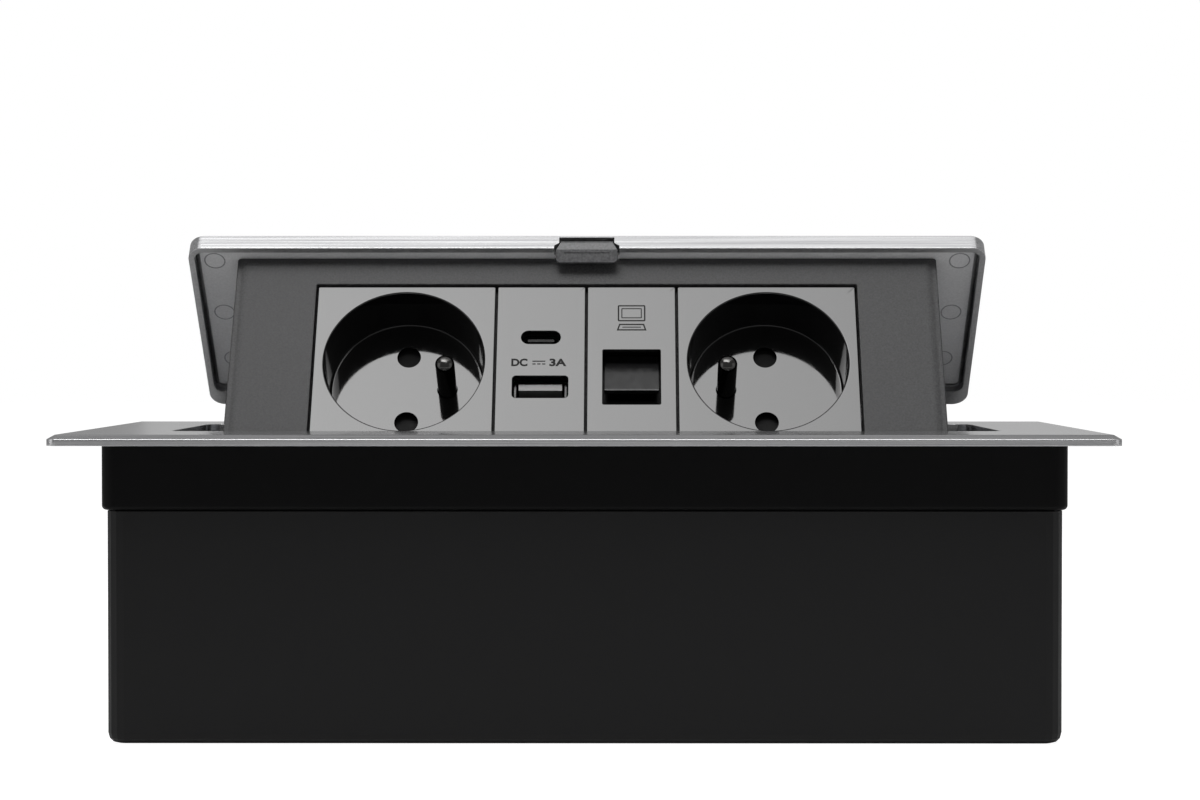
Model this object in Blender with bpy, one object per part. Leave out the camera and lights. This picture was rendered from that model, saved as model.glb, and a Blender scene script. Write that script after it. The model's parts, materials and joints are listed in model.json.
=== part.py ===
"""An in-desk power module: a brushed plate that drops into a worktop, a black box under it, and a tilting
unit with a lid and a panel of two earth-pin sockets, a USB charger and a data outlet. It stands open.

X runs along the plate, -Y is the user's side and Z is up, with the origin under the middle of the box.
Pieces of the tilting unit are drawn shut, where the lid lies level in the plate; their parents open them.
"""

import math

import bmesh
import bpy
from mathutils import Matrix

MM = 0.001

# Clearances
SEAT_GAP = 0.3 * MM
PIN_CLEARANCE = 0.1 * MM
CUT_MARGIN = 1.0 * MM
LEAST_CORNER = 0.2 * MM

# Top plate
UNIT_HEIGHT = 73.5 * MM
PLATE_LENGTH = 250.0 * MM
PLATE_WIDTH = 120.0 * MM
PLATE_THICKNESS = 2.6 * MM
PLATE_CORNER = 2.5 * MM
PLATE_BEVEL_RUN = 1.9 * MM
PLATE_BEVEL_DROP = 1.05 * MM
PLATE_RECESS = 0.3 * MM
OPENING_LENGTH = 202.0 * MM
OPENING_WIDTH = 60.5 * MM
OPENING_CORNER = 4.0 * MM

# Skirt under the plate and the box that hangs from it
BOX_LENGTH = 226.5 * MM
BOX_WIDTH = 98.4 * MM
BOX_WALL = 1.8 * MM
BOX_CORNER = 4.5 * MM
BOX_FOOT_RADIUS = 2.5 * MM
SKIRT_PROUD = 0.95 * MM
SKIRT_DEPTH = 15.5 * MM
SKIRT_WALL = 2.2 * MM
SKIRT_EDGE_RADIUS = 1.1 * MM
LIP_REACH = 6.0 * MM
LIP_THICKNESS = 2.0 * MM
TONGUE_DEPTH = 5.0 * MM
TONGUE_WALL = 1.6 * MM
POST_RADIUS = 4.4 * MM
POST_INSET = 8.3 * MM
BOX_SCREW_RADIUS = 1.5 * MM
BOX_SCREW_LENGTH = 16.0 * MM
PLATE_SCREW_RADIUS = 1.25 * MM
PLATE_SCREW_BITE = 1.5 * MM
FLOOR_RIB_HEIGHT = 2.0 * MM
FLOOR_RIB_WIDTH = 1.4 * MM
FLOOR_RIB_SPACING = 40.0 * MM

# Cable entries in the rear wall
MAINS_ENTRY_RADIUS = 7.0 * MM
MAINS_CABLE_RADIUS = 4.0 * MM
DATA_ENTRY_RADIUS = 9.0 * MM
DATA_CABLE_RADIUS = 5.5 * MM
ENTRY_SPACING = 140.0 * MM
ENTRY_HEIGHT = 20.0 * MM
GROMMET_FLANGE = 2.0 * MM

# Tilting unit
PIVOT_FROM_OPENING = 13.05 * MM
PIVOT_BELOW_TOP = 9.05 * MM
OPEN_ANGLE = math.radians(44.5)
PANEL_LEAN = math.radians(31.75)
PANEL_SETBACK = 2.05 * MM
PIN_RADIUS = 1.5 * MM
PIN_INNER_LENGTH = 6.0 * MM
PIN_HEAD_RADIUS = 1.9 * MM
PIN_HEAD = 1.2 * MM
BOSS_RADIUS = 3.1 * MM
ARM_WIDTH = 6.4 * MM
CHEEK_THICKNESS = 2.0 * MM
BRACKET_THICKNESS = 2.0 * MM
BRACKET_FOOT = 8.4 * MM
BRACKET_GAP = 3.4 * MM
TORSION_WIRE = 0.55 * MM
TORSION_TURNS = 3.5

# The side plates' arm, measured forward and down from the pivot in the shut unit
NECK_FORWARD = 24.5 * MM
NECK_SHOULDER_DROP = 3.1 * MM
NECK_SHOULDER_RUN = 1.4 * MM
NECK_RISE = 2.0 * MM
ELBOW_FORWARD = 15.5 * MM
ELBOW_DROP = 7.6 * MM
KNEE_FORWARD = 14.0 * MM
KNEE_DROP = 14.5 * MM
HEEL_FORWARD = 30.0 * MM
HEEL_DROP = 22.0 * MM

# Lid
LID_GAP = 0.5 * MM
LID_DEPTH = 4.55 * MM
LID_SKIN = 1.2 * MM
LID_RIM = 1.6 * MM
LID_REAR_RIM = 5.0 * MM
LID_CORNER = 4.0 * MM
LID_REAR_RELIEF = 2.0 * MM
LINER_THICKNESS = 1.4 * MM
LINER_WALL = 1.2 * MM
LINER_SIDE_SLOT = 1.0 * MM

# Latch in the lid's front edge
LATCH_NOTCH = 13.9 * MM
LATCH_WIDTH = 15.4 * MM
LATCH_SIDE_GAP = 0.5 * MM
LATCH_TRAVEL = 1.5 * MM
LATCH_NOTCH_TOP = 0.8 * MM
LATCH_SHOULDER = 2.6 * MM
LATCH_DROP = 7.6 * MM
LATCH_RECESS = 0.8 * MM
LATCH_SLOPE = 2.0 * MM
LATCH_THICKNESS = 2.6 * MM
LATCH_STEM_WIDTH = 11.0 * MM
LATCH_STEM_LENGTH = 4.0 * MM
LATCH_SPRING_ROOM = 3.0 * MM
LATCH_SPRING_STRIP = 0.25 * MM

# Panel, measured up its own slope from the top of the plate
BEZEL_WIDTH = 176.4 * MM
BEZEL_BOTTOM = -7.5 * MM
BEZEL_FACE = 2.2 * MM
BEZEL_RETURN = 7.0 * MM
BEZEL_RETURN_WALL = 1.6 * MM
BEZEL_CORNER = 1.2 * MM
BEZEL_EDGE = 0.4 * MM
WINDOW_BOTTOM = -3.2 * MM
WINDOW_TOP = 42.5 * MM
MODULE_BOTTOM = -2.6 * MM
MODULE_TOP = 41.7 * MM
MODULE_PITCH = 22.5 * MM
MODULE_SEAM = 0.55 * MM
MODULE_FACE = 2.4 * MM
MODULE_CORNER = 0.4 * MM
MODULE_REACH = 36.0 * MM
FRAME_THICKNESS = 1.6 * MM
MULLION_WIDTH = 1.2 * MM

# Sockets
SOCKET_HEIGHT = 20.0 * MM
SOCKET_RADIUS = 19.82 * MM
SOCKET_FLOOR_RADIUS = 19.2 * MM
SOCKET_DEPTH = 14.0 * MM
SOCKET_WALL = 1.5 * MM
SOCKET_HOLE_RADIUS = 3.0 * MM
SOCKET_HOLE_SPACING = 19.0 * MM
EARTH_PIN_RADIUS = 2.4 * MM
EARTH_PIN_OFFSET = 10.0 * MM
EARTH_PIN_LENGTH = 14.0 * MM
EARTH_PIN_SHANK = 8.0 * MM
SOCKET_EDGE = 0.35 * MM
SHUTTER_WIDTH = 7.4 * MM
SHUTTER_THICKNESS = 1.5 * MM
SHUTTER_TRAVEL = 7.0 * MM
SHUTTER_LAP = 1.5 * MM
SHUTTER_CORNER = 0.6 * MM
SOCKET_BODY_WIDTH = 40.0 * MM
SOCKET_BODY_CORNER = 2.0 * MM
CLIP_GAP = 3.4 * MM
CLIP_THICKNESS = 0.6 * MM
CLIP_WIDTH = 5.0 * MM
CLIP_DEPTH = 12.0 * MM

# USB charger
USB_C_HEIGHT = 26.8 * MM
USB_C_LENGTH = 9.7 * MM
USB_C_WIDTH = 3.7 * MM
USB_C_FLARE = 0.65 * MM
USB_C_TONGUE_LENGTH = 6.7 * MM
USB_C_TONGUE_THICKNESS = 0.7 * MM
USB_C_TONGUE_SETBACK = 1.6 * MM
USB_A_HEIGHT = 12.5 * MM
USB_A_LENGTH = 13.7 * MM
USB_A_WIDTH = 6.2 * MM
USB_A_FLARE = 0.85 * MM
USB_A_CORNER = 0.8 * MM
USB_A_TONGUE_INSET = 1.5 * MM
USB_A_TONGUE_OFFSET = 0.2 * MM
USB_A_TONGUE_THICKNESS = 1.7 * MM
USB_A_TONGUE_SETBACK = 2.2 * MM
USB_SHELL_WALL = 0.45 * MM
USB_A_DEPTH = 14.0 * MM
USB_C_DEPTH = 7.5 * MM
USB_BOARD_THICKNESS = 1.6 * MM
USB_BOARD_INSET = 2.4 * MM
USB_BOARD_END_GAP = 4.0 * MM

# Rear covers of the narrow modules
HOUSING_INSET = 0.8 * MM
HOUSING_END_GAP = 2.0 * MM
HOUSING_WALL = 1.2 * MM
HOUSING_CORNER = 1.0 * MM

# Data outlet
DATA_WINDOW_WIDTH = 14.3 * MM
DATA_WINDOW_BOTTOM = 7.5 * MM
DATA_WINDOW_TOP = 23.2 * MM
DATA_WINDOW_CORNER = 0.3 * MM
DATA_SHUTTER_LEAN = math.radians(12)
DATA_SHUTTER_THICKNESS = 1.2 * MM
DATA_SHUTTER_LAP = 1.2 * MM
DATA_SHUTTER_EDGE = 11.8 * MM
DATA_SHUTTER_SETBACK = 1.3 * MM
DATA_LIP_REACH = 0.8 * MM
DATA_LIP_THICKNESS = 0.7 * MM
DATA_LIP_INSET = 0.5 * MM
JACK_WIDTH = 14.5 * MM
JACK_HEIGHT = 16.0 * MM
JACK_DEPTH = 18.0 * MM
JACK_MOUTH_WIDTH = 11.7 * MM
JACK_MOUTH_HEIGHT = 7.6 * MM
JACK_CLIP_WIDTH = 6.4 * MM
JACK_CLIP_HEIGHT = 2.0 * MM
JACK_BACK_WALL = 4.0 * MM
JACK_CONTACTS = 8
JACK_CONTACT_PITCH = 1.02 * MM
JACK_CONTACT_WIDTH = 0.4 * MM
JACK_CONTACT_RISE = 2.6 * MM
JACK_CONTACT_SETBACK = 2.0 * MM
DATA_REACH = 28.0 * MM

# Sizes and places that follow from those above
PLATE_UNDERSIDE = UNIT_HEIGHT - PLATE_THICKNESS
RECESS_CEILING = PLATE_UNDERSIDE + PLATE_RECESS
SKIRT_TOP = RECESS_CEILING - SEAT_GAP
SKIRT_BOTTOM = SKIRT_TOP - SKIRT_DEPTH
SKIRT_LENGTH = BOX_LENGTH + 2 * SKIRT_PROUD
SKIRT_WIDTH = BOX_WIDTH + 2 * SKIRT_PROUD
LIP_UNDERSIDE = SKIRT_TOP - LIP_THICKNESS
LIP_X = SKIRT_LENGTH / 2 - SKIRT_WALL - LIP_REACH
LIP_Y = SKIRT_WIDTH / 2 - SKIRT_WALL - LIP_REACH
BOX_TOP = SKIRT_BOTTOM - SEAT_GAP
POST_X = BOX_LENGTH / 2 - BOX_WALL - POST_INSET
POST_Y = BOX_WIDTH / 2 - BOX_WALL - POST_INSET
PIVOT_Y = OPENING_WIDTH / 2 + PIVOT_FROM_OPENING
PIVOT_Z = UNIT_HEIGHT - PIVOT_BELOW_TOP
LID_X = OPENING_LENGTH / 2 - LID_GAP
LID_FRONT = -OPENING_WIDTH / 2 + LID_GAP
LID_REAR = OPENING_WIDTH / 2 - LID_GAP
LID_UNDERSIDE = UNIT_HEIGHT - LID_DEPTH
LINER_TOP = UNIT_HEIGHT - LID_SKIN - SEAT_GAP
LINER_UNDERSIDE = LID_UNDERSIDE + SEAT_GAP / 2
LINER_FRONT = LID_FRONT + LID_RIM + SEAT_GAP
LINER_REAR = LID_REAR - LID_REAR_RELIEF - LID_REAR_RIM - LINER_SIDE_SLOT
LINER_X = LID_X - LID_RIM - LINER_SIDE_SLOT
LATCH_FACE_Y = LID_FRONT
LATCH_BACK_Y = LATCH_FACE_Y + LATCH_THICKNESS
LATCH_POCKET_REAR = LATCH_BACK_Y + LATCH_STEM_LENGTH + LATCH_SPRING_ROOM
BEZEL_X = BEZEL_WIDTH / 2
CHEEK_X = BEZEL_X - BEZEL_RETURN_WALL - SEAT_GAP - CHEEK_THICKNESS / 2
BRACKET_X = CHEEK_X + CHEEK_THICKNESS / 2 + BRACKET_GAP + BRACKET_THICKNESS / 2
SOCKET_X = 2 * MODULE_PITCH
SOCKET_WIDTH = 2 * MODULE_PITCH - MODULE_SEAM
NARROW_WIDTH = MODULE_PITCH - MODULE_SEAM
USB_X = -MODULE_PITCH / 2
DATA_X = MODULE_PITCH / 2
CUP_BACK = SOCKET_DEPTH + SOCKET_WALL
SHUTTER_FRONT = CUP_BACK + SEAT_GAP
BODY_FRONT = SHUTTER_FRONT
SHUTTER_POCKET = SHUTTER_THICKNESS + SEAT_GAP
DATA_SHUTTER_HEIGHT = DATA_WINDOW_TOP + DATA_SHUTTER_LAP - DATA_SHUTTER_EDGE
DATA_SHUTTER_RISE = DATA_SHUTTER_HEIGHT / math.cos(DATA_SHUTTER_LEAN)
DATA_SHUTTER_REACH = DATA_SHUTTER_HEIGHT * math.tan(DATA_SHUTTER_LEAN)
DATA_SHUTTER_BACK = DATA_SHUTTER_SETBACK + DATA_SHUTTER_REACH + DATA_SHUTTER_THICKNESS
JACK_FRONT = DATA_SHUTTER_BACK + SEAT_GAP
JACK_MIDDLE = (DATA_WINDOW_BOTTOM + DATA_WINDOW_TOP) / 2

CORNER_STEPS = 4
ROUND_STEPS = 24


def clear_scene():
    for old in list(bpy.data.objects):
        bpy.data.objects.remove(old, do_unlink=True)


def finish(name, colour, roughness, metallic=0.0):
    """The material of this name, made once."""
    found = bpy.data.materials.get(name)
    if found:
        return found
    made = bpy.data.materials.new(name)
    made.use_nodes = True
    shader = made.node_tree.nodes["Principled BSDF"]
    shader.inputs["Base Color"].default_value = (*colour, 1.0)
    shader.inputs["Roughness"].default_value = roughness
    shader.inputs["Metallic"].default_value = metallic
    return made


def brushed_aluminium():
    return finish("brushed_aluminium", (0.62, 0.62, 0.63), 0.35, 1.0)


def black_shell():
    return finish("black_shell", (0.012, 0.012, 0.012), 0.5)


def grey_plastic():
    return finish("grey_plastic", (0.17, 0.17, 0.175), 0.5)


def dark_textured_plastic():
    return finish("dark_textured_plastic", (0.075, 0.075, 0.08), 0.6)


def glossy_black():
    return finish("glossy_black", (0.02, 0.02, 0.022), 0.08)


def inner_plastic():
    return finish("inner_plastic", (0.03, 0.03, 0.03), 0.5)


def zinc_steel():
    return finish("zinc_steel", (0.55, 0.56, 0.58), 0.35, 1.0)


def nickel():
    return finish("nickel", (0.66, 0.64, 0.6), 0.15, 1.0)


def contact_brass():
    return finish("contact_brass", (0.75, 0.55, 0.25), 0.3, 1.0)


def black_rubber():
    return finish("black_rubber", (0.02, 0.02, 0.02), 0.8)


def circuit_board():
    return finish("circuit_board", (0.02, 0.14, 0.06), 0.5)


def white_plastic():
    return finish("white_plastic", (0.75, 0.75, 0.73), 0.4)


def rounded_box(x0, x1, y0, y1, radius, steps=CORNER_STEPS):
    """A rectangle's outline, anticlockwise, with an arc of this radius at each corner."""
    radius = min(radius, (x1 - x0) / 2.02, (y1 - y0) / 2.02)
    corners = (
        (x1 - radius, y0 + radius, -90),
        (x1 - radius, y1 - radius, 0),
        (x0 + radius, y1 - radius, 90),
        (x0 + radius, y0 + radius, 180),
    )
    points = []
    for centre_x, centre_y, start in corners:
        for step in range(steps + 1):
            angle = math.radians(start + 90 * step / steps)
            points.append((centre_x + radius * math.cos(angle), centre_y + radius * math.sin(angle)))
    return points


def centred_box(length, width, radius, steps=CORNER_STEPS):
    return rounded_box(-length / 2, length / 2, -width / 2, width / 2, radius, steps)


def square_box(x0, x1, y0, y1):
    return [(x0, y0), (x1, y0), (x1, y1), (x0, y1)]


def circle(radius, centre=(0, 0), steps=ROUND_STEPS):
    turns = (2 * math.pi * step / steps for step in range(steps))
    return [(centre[0] + radius * math.cos(turn), centre[1] + radius * math.sin(turn)) for turn in turns]


def slot(length, width, centre=(0, 0), steps=6):
    return rounded_box(
        centre[0] - length / 2,
        centre[0] + length / 2,
        centre[1] - width / 2,
        centre[1] + width / 2,
        width / 2.05,
        steps,
    )


def shift(outline, dx, dy):
    return [(x + dx, y + dy) for x, y in outline]


def link(name, mesh, material):
    piece = bpy.data.objects.new(name, mesh)
    piece.data.materials.append(material)
    bpy.context.scene.collection.objects.link(piece)
    return piece


def add_loft(bm, sections, ring=False):
    """A skin over outlines that lie one above another, capped at both ends or joined up as a ring."""
    loops = [[bm.verts.new((x, y, z)) for x, y in outline] for outline, z in sections]
    steps = list(zip(loops, loops[1:]))
    if ring:
        steps.append((loops[-1], loops[0]))
    else:
        bm.faces.new(list(reversed(loops[0])))
        bm.faces.new(loops[-1])
    for below, above in steps:
        for here in range(len(below)):
            after = (here + 1) % len(below)
            bm.faces.new((below[here], below[after], above[after], above[here]))


def loft(name, material, sections, ring=False):
    return lofts(name, material, [sections], ring)


def lofts(name, material, solids, ring=False):
    """One object of one or more separate lofted solids."""
    bm = bmesh.new()
    for sections in solids:
        add_loft(bm, sections, ring)
    bmesh.ops.recalc_face_normals(bm, faces=bm.faces)
    mesh = bpy.data.meshes.new(name)
    bm.to_mesh(mesh)
    bm.free()
    mesh.set_sharp_from_angle(angle=math.radians(35))
    return link(name, mesh, material)


def prism(name, material, outline, low, high):
    return loft(name, material, [(outline, low), (outline, high)])


def turned(name, material, profile, centre=(0, 0), steps=ROUND_STEPS):
    """A turned solid about Z, from a profile of (radius, height) that runs from one end to the other."""
    return loft(name, material, [(circle(radius, centre, steps), height) for radius, height in profile])


def coil(name, material, radius, wire, turns, length, sides=6, steps=12):
    """A helical spring about Z of this mean radius, with flat ends."""
    bm = bmesh.new()
    rings = []
    count = round(turns * steps)
    pitch = length / turns
    for step in range(count + 1):
        angle = 2 * math.pi * step / steps
        height = pitch * step / steps
        ring = []
        for side in range(sides):
            around = 2 * math.pi * side / sides
            reach = radius + wire * math.cos(around)
            place = (reach * math.cos(angle), reach * math.sin(angle), height + wire * math.sin(around))
            ring.append(bm.verts.new(place))
        rings.append(ring)
    bm.faces.new(list(reversed(rings[0])))
    bm.faces.new(rings[-1])
    for first, second in zip(rings, rings[1:]):
        for side in range(sides):
            after = (side + 1) % sides
            bm.faces.new((first[side], first[after], second[after], second[side]))
    bmesh.ops.recalc_face_normals(bm, faces=bm.faces)
    mesh = bpy.data.meshes.new(name)
    bm.to_mesh(mesh)
    bm.free()
    mesh.set_sharp_from_angle(angle=math.radians(80))
    return link(name, mesh, material)


def change(piece, tool, operation):
    """Cuts the tool from the piece, or joins it on, with the tool kept as a hidden guide."""
    tool.hide_render = True
    tool.display_type = "WIRE"
    tool.parent = piece.parent
    tool.matrix_parent_inverse = piece.matrix_parent_inverse.copy()
    tool.location = piece.location
    tool.rotation_euler = piece.rotation_euler
    step = piece.modifiers.new(tool.name, "BOOLEAN")
    step.operation = operation
    step.solver = "EXACT"
    step.object = tool


def cut(piece, *tools):
    for tool in tools:
        change(piece, tool, "DIFFERENCE")


def join(piece, *tools):
    for tool in tools:
        change(piece, tool, "UNION")


def cutter(name, outline, low, high):
    return prism("cut_" + name, inner_plastic(), outline, low, high)


def holes(name, outlines, low, high):
    return lofts("cut_" + name, inner_plastic(), [[(line, low), (line, high)] for line in outlines])


def carry(piece, parent, location=(0, 0, 0), rotation=(0, 0, 0)):
    piece.parent = parent
    piece.location = location
    piece.rotation_euler = rotation
    return piece


def corner_places(x, y):
    return [(x, -y), (x, y), (-x, y), (-x, -y)]


def plate_screw_places():
    """Screws through the skirt's lip, along the front and at both ends, clear of the hinge."""
    x = (LIP_X + SKIRT_LENGTH / 2 - SKIRT_WALL) / 2
    y = (LIP_Y + SKIRT_WIDTH / 2 - SKIRT_WALL) / 2
    return [(-x, 0), (x, 0), (-x / 2, -y), (x / 2, -y), (-x / 3, y), (x / 3, y)]


def top_plate():
    """The plate seen in the worktop: a bevelled rim round a rounded opening, with a shallow recess below
    that locates the skirt and is tapped for its screws."""
    rim = centred_box(PLATE_LENGTH, PLATE_WIDTH, PLATE_CORNER)
    recess = centred_box(
        SKIRT_LENGTH + 2 * SEAT_GAP,
        SKIRT_WIDTH + 2 * SEAT_GAP,
        BOX_CORNER + SKIRT_PROUD + SEAT_GAP,
    )
    flat = centred_box(PLATE_LENGTH - 2 * PLATE_BEVEL_RUN, PLATE_WIDTH - 2 * PLATE_BEVEL_RUN, PLATE_CORNER)
    opening = centred_box(OPENING_LENGTH, OPENING_WIDTH, OPENING_CORNER)
    sections = [
        (rim, PLATE_UNDERSIDE),
        (rim, UNIT_HEIGHT - PLATE_BEVEL_DROP),
        (flat, UNIT_HEIGHT),
        (opening, UNIT_HEIGHT),
        (opening, RECESS_CEILING),
        (recess, RECESS_CEILING),
        (recess, PLATE_UNDERSIDE),
    ]
    plate = loft("top_plate", brushed_aluminium(), sections, ring=True)
    tapped = [circle(PLATE_SCREW_RADIUS + SEAT_GAP, place, 10) for place in plate_screw_places()]
    depth = PLATE_UNDERSIDE + PLATE_SCREW_BITE + SEAT_GAP
    cut(plate, holes("tapped", tapped, PLATE_UNDERSIDE - CUT_MARGIN, depth))
    return plate


def skirt_frame():
    """The moulded frame under the plate: a lip that takes the screws, a rounded foot, and a tongue."""

    def outline(inset):
        radius = max(BOX_CORNER + SKIRT_PROUD - inset, LEAST_CORNER)
        return centred_box(SKIRT_LENGTH - 2 * inset, SKIRT_WIDTH - 2 * inset, radius)

    tongue_outer = SKIRT_PROUD + BOX_WALL + SEAT_GAP
    tongue_inner = tongue_outer + TONGUE_WALL
    sections = []
    for step in range(4):
        angle = math.radians(90 * step / 3)
        inset = SKIRT_EDGE_RADIUS * (1 - math.sin(angle))
        sections.append((outline(inset), SKIRT_BOTTOM + SKIRT_EDGE_RADIUS * (1 - math.cos(angle))))
    sections += [
        (outline(0), SKIRT_TOP),
        (outline(SKIRT_WALL + LIP_REACH), SKIRT_TOP),
        (outline(SKIRT_WALL + LIP_REACH), LIP_UNDERSIDE),
        (outline(SKIRT_WALL), LIP_UNDERSIDE),
        (outline(SKIRT_WALL), SKIRT_BOTTOM + TONGUE_WALL),
        (outline(tongue_inner), SKIRT_BOTTOM + TONGUE_WALL),
        (outline(tongue_inner), SKIRT_BOTTOM - TONGUE_DEPTH),
        (outline(tongue_outer), SKIRT_BOTTOM - TONGUE_DEPTH),
        (outline(tongue_outer), SKIRT_BOTTOM),
    ]
    skirt = loft("skirt_frame", black_shell(), sections, ring=True)
    corners = corner_places(POST_X, POST_Y)
    bosses = [circle(POST_RADIUS, place, 16) for place in corners]
    join(skirt, holes("skirt_bosses", bosses, BOX_TOP, SKIRT_TOP - LIP_THICKNESS / 2))
    through = [circle(PLATE_SCREW_RADIUS + SEAT_GAP, place, 10) for place in plate_screw_places()]
    cut(skirt, holes("lip_holes", through, LIP_UNDERSIDE - CUT_MARGIN, SKIRT_TOP + CUT_MARGIN))
    pilots = [circle(BOX_SCREW_RADIUS + SEAT_GAP, place, 10) for place in corners]
    pilot_top = BOX_TOP + BOX_SCREW_LENGTH / 2 + SEAT_GAP
    cut(skirt, holes("boss_pilots", pilots, BOX_TOP - CUT_MARGIN, pilot_top))
    return skirt


def plate_screws():
    """Pan-head screws that draw the skirt up to the plate."""
    head = circle(2 * PLATE_SCREW_RADIUS, steps=12)
    neck = circle(PLATE_SCREW_RADIUS, steps=12)
    seat = LIP_UNDERSIDE - SEAT_GAP
    top = PLATE_UNDERSIDE + PLATE_SCREW_BITE
    sections = [(head, seat - 1.4 * PLATE_SCREW_RADIUS), (head, seat), (neck, seat), (neck, top)]
    repeat("plate_screw", sections, plate_screw_places())


def repeat(name, sections, places):
    """One screw's mesh, set at each of these places."""
    first = loft(name + "_1", zinc_steel(), sections)
    first.location = (*places[0], 0)
    for number, place in enumerate(places[1:], start=2):
        screw = bpy.data.objects.new(f"{name}_{number}", first.data)
        bpy.context.scene.collection.objects.link(screw)
        screw.location = (*place, 0)


def base_box():
    """The deep box: rounded foot, corner posts for long screws, ribs on the floor, cable entries behind."""

    def outline(inset):
        radius = max(BOX_CORNER - inset, LEAST_CORNER)
        return centred_box(BOX_LENGTH - 2 * inset, BOX_WIDTH - 2 * inset, radius)

    sections = []
    for step in range(4):
        angle = math.radians(90 * step / 3)
        inset = BOX_FOOT_RADIUS * (1 - math.sin(angle))
        sections.append((outline(inset), BOX_FOOT_RADIUS * (1 - math.cos(angle))))
    sections += [
        (outline(0), BOX_TOP),
        (outline(BOX_WALL), BOX_TOP),
        (outline(BOX_WALL), BOX_WALL + BOX_FOOT_RADIUS / 2),
        (outline(BOX_WALL + BOX_FOOT_RADIUS / 2), BOX_WALL),
    ]
    box = loft("base_box", black_shell(), sections)
    corners = corner_places(POST_X, POST_Y)
    posts = [circle(POST_RADIUS, place, 16) for place in corners]
    join(box, holes("box_posts", posts, BOX_WALL / 2, BOX_TOP - SEAT_GAP))
    join(box, floor_ribs())
    counterbore = BOX_TOP - SEAT_GAP - BOX_SCREW_LENGTH / 2
    heads = [circle(2 * BOX_SCREW_RADIUS + SEAT_GAP, place, 12) for place in corners]
    cut(box, holes("box_counterbores", heads, -CUT_MARGIN, counterbore))
    shanks = [circle(BOX_SCREW_RADIUS + SEAT_GAP, place, 10) for place in corners]
    cut(box, holes("box_screw_holes", shanks, counterbore - CUT_MARGIN, BOX_TOP + CUT_MARGIN))
    for name, x, radius in entries():
        tool = cutter(name, circle(radius, (x, 0)), -BOX_WALL - CUT_MARGIN, BOX_WALL + CUT_MARGIN)
        turn_into_wall(tool)
        cut(box, tool)
    return box


def floor_ribs():
    """Low ribs across the floor that stiffen it."""
    count = int((BOX_LENGTH / 2 - 2 * POST_INSET) / FLOOR_RIB_SPACING)
    half = FLOOR_RIB_WIDTH / 2
    reach = BOX_WIDTH / 2 - BOX_WALL - 2 * POST_INSET
    solids = []
    for step in range(-count, count + 1):
        line = square_box(step * FLOOR_RIB_SPACING - half, step * FLOOR_RIB_SPACING + half, -reach, reach)
        solids.append([(line, BOX_WALL / 2), (line, BOX_WALL + FLOOR_RIB_HEIGHT)])
    return lofts("join_floor_ribs", black_shell(), solids)


def entries():
    return (
        ("mains_entry", -ENTRY_SPACING / 2, MAINS_ENTRY_RADIUS),
        ("data_entry", ENTRY_SPACING / 2, DATA_ENTRY_RADIUS),
    )


def turn_into_wall(tool):
    """Turns a mesh that stands on Z so that its foot lies in the middle of the box's rear wall."""
    wall_middle = BOX_WIDTH / 2 - BOX_WALL / 2
    turn = Matrix.Translation((0, wall_middle, ENTRY_HEIGHT)) @ Matrix.Rotation(math.radians(-90), 4, "X")
    tool.data.transform(turn)


def box_screws():
    """Long screws up through the box's posts into the skirt."""
    seat = BOX_TOP - SEAT_GAP - BOX_SCREW_LENGTH / 2 - SEAT_GAP
    head = circle(2 * BOX_SCREW_RADIUS, steps=12)
    neck = circle(BOX_SCREW_RADIUS, steps=12)
    sections = [(head, seat - BOX_SCREW_RADIUS), (head, seat), (neck, seat), (neck, seat + BOX_SCREW_LENGTH)]
    repeat("box_screw", sections, corner_places(POST_X, POST_Y))


def grommet(name, x, hole, bore):
    """A rubber ring that grips the edge of a hole in the rear wall, with a passage for the cable."""
    inside = BOX_WALL / 2 + SEAT_GAP
    rim = hole + GROMMET_FLANGE
    neck = hole - SEAT_GAP
    profile = (
        (bore, inside + GROMMET_FLANGE),
        (rim, inside + GROMMET_FLANGE),
        (rim, inside),
        (neck, inside),
        (neck, -inside),
        (rim, -inside),
        (rim - GROMMET_FLANGE / 4, -inside - GROMMET_FLANGE),
        (bore, -inside - GROMMET_FLANGE),
    )
    sections = [(circle(radius, (x, 0)), height) for radius, height in profile]
    ring = loft(name, black_rubber(), sections, ring=True)
    turn_into_wall(ring)
    return ring


def hinge_bracket(name, side):
    """A folded steel bracket: an ear for the pin and a foot screwed up to the skirt's lip."""
    wall = SKIRT_WIDTH / 2 - SKIRT_WALL - SEAT_GAP
    low = SKIRT_BOTTOM + TONGUE_WALL + SEAT_GAP
    high = LIP_UNDERSIDE - SEAT_GAP
    inner = BRACKET_X - BRACKET_THICKNESS / 2
    front = PIVOT_Y - 2 * BOSS_RADIUS
    outline = [
        (side * inner, low),
        (side * (inner + BRACKET_THICKNESS), low),
        (side * (inner + BRACKET_THICKNESS), high - BRACKET_THICKNESS),
        (side * (inner + BRACKET_FOOT), high - BRACKET_THICKNESS),
        (side * (inner + BRACKET_FOOT), high),
        (side * inner, high),
    ]
    bracket = prism(name, zinc_steel(), outline, -wall, -front)
    bracket.data.transform(Matrix.Rotation(math.radians(90), 4, "X"))
    hole = circle(PIN_RADIUS + SEAT_GAP, (PIVOT_Y, PIVOT_Z), 16)
    tool = cutter(name + "_pin", hole, -CUT_MARGIN - BRACKET_THICKNESS, BRACKET_THICKNESS + CUT_MARGIN)
    tool.data.transform(Matrix.Translation((side * BRACKET_X, 0, 0)) @ sideways_turn())
    cut(bracket, tool)
    return bracket


def sideways_turn():
    """Turns an outline drawn flat into the YZ plane, with its thickness along X."""
    return Matrix.Rotation(math.radians(90), 4, "Z") @ Matrix.Rotation(math.radians(90), 4, "X")


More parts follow.
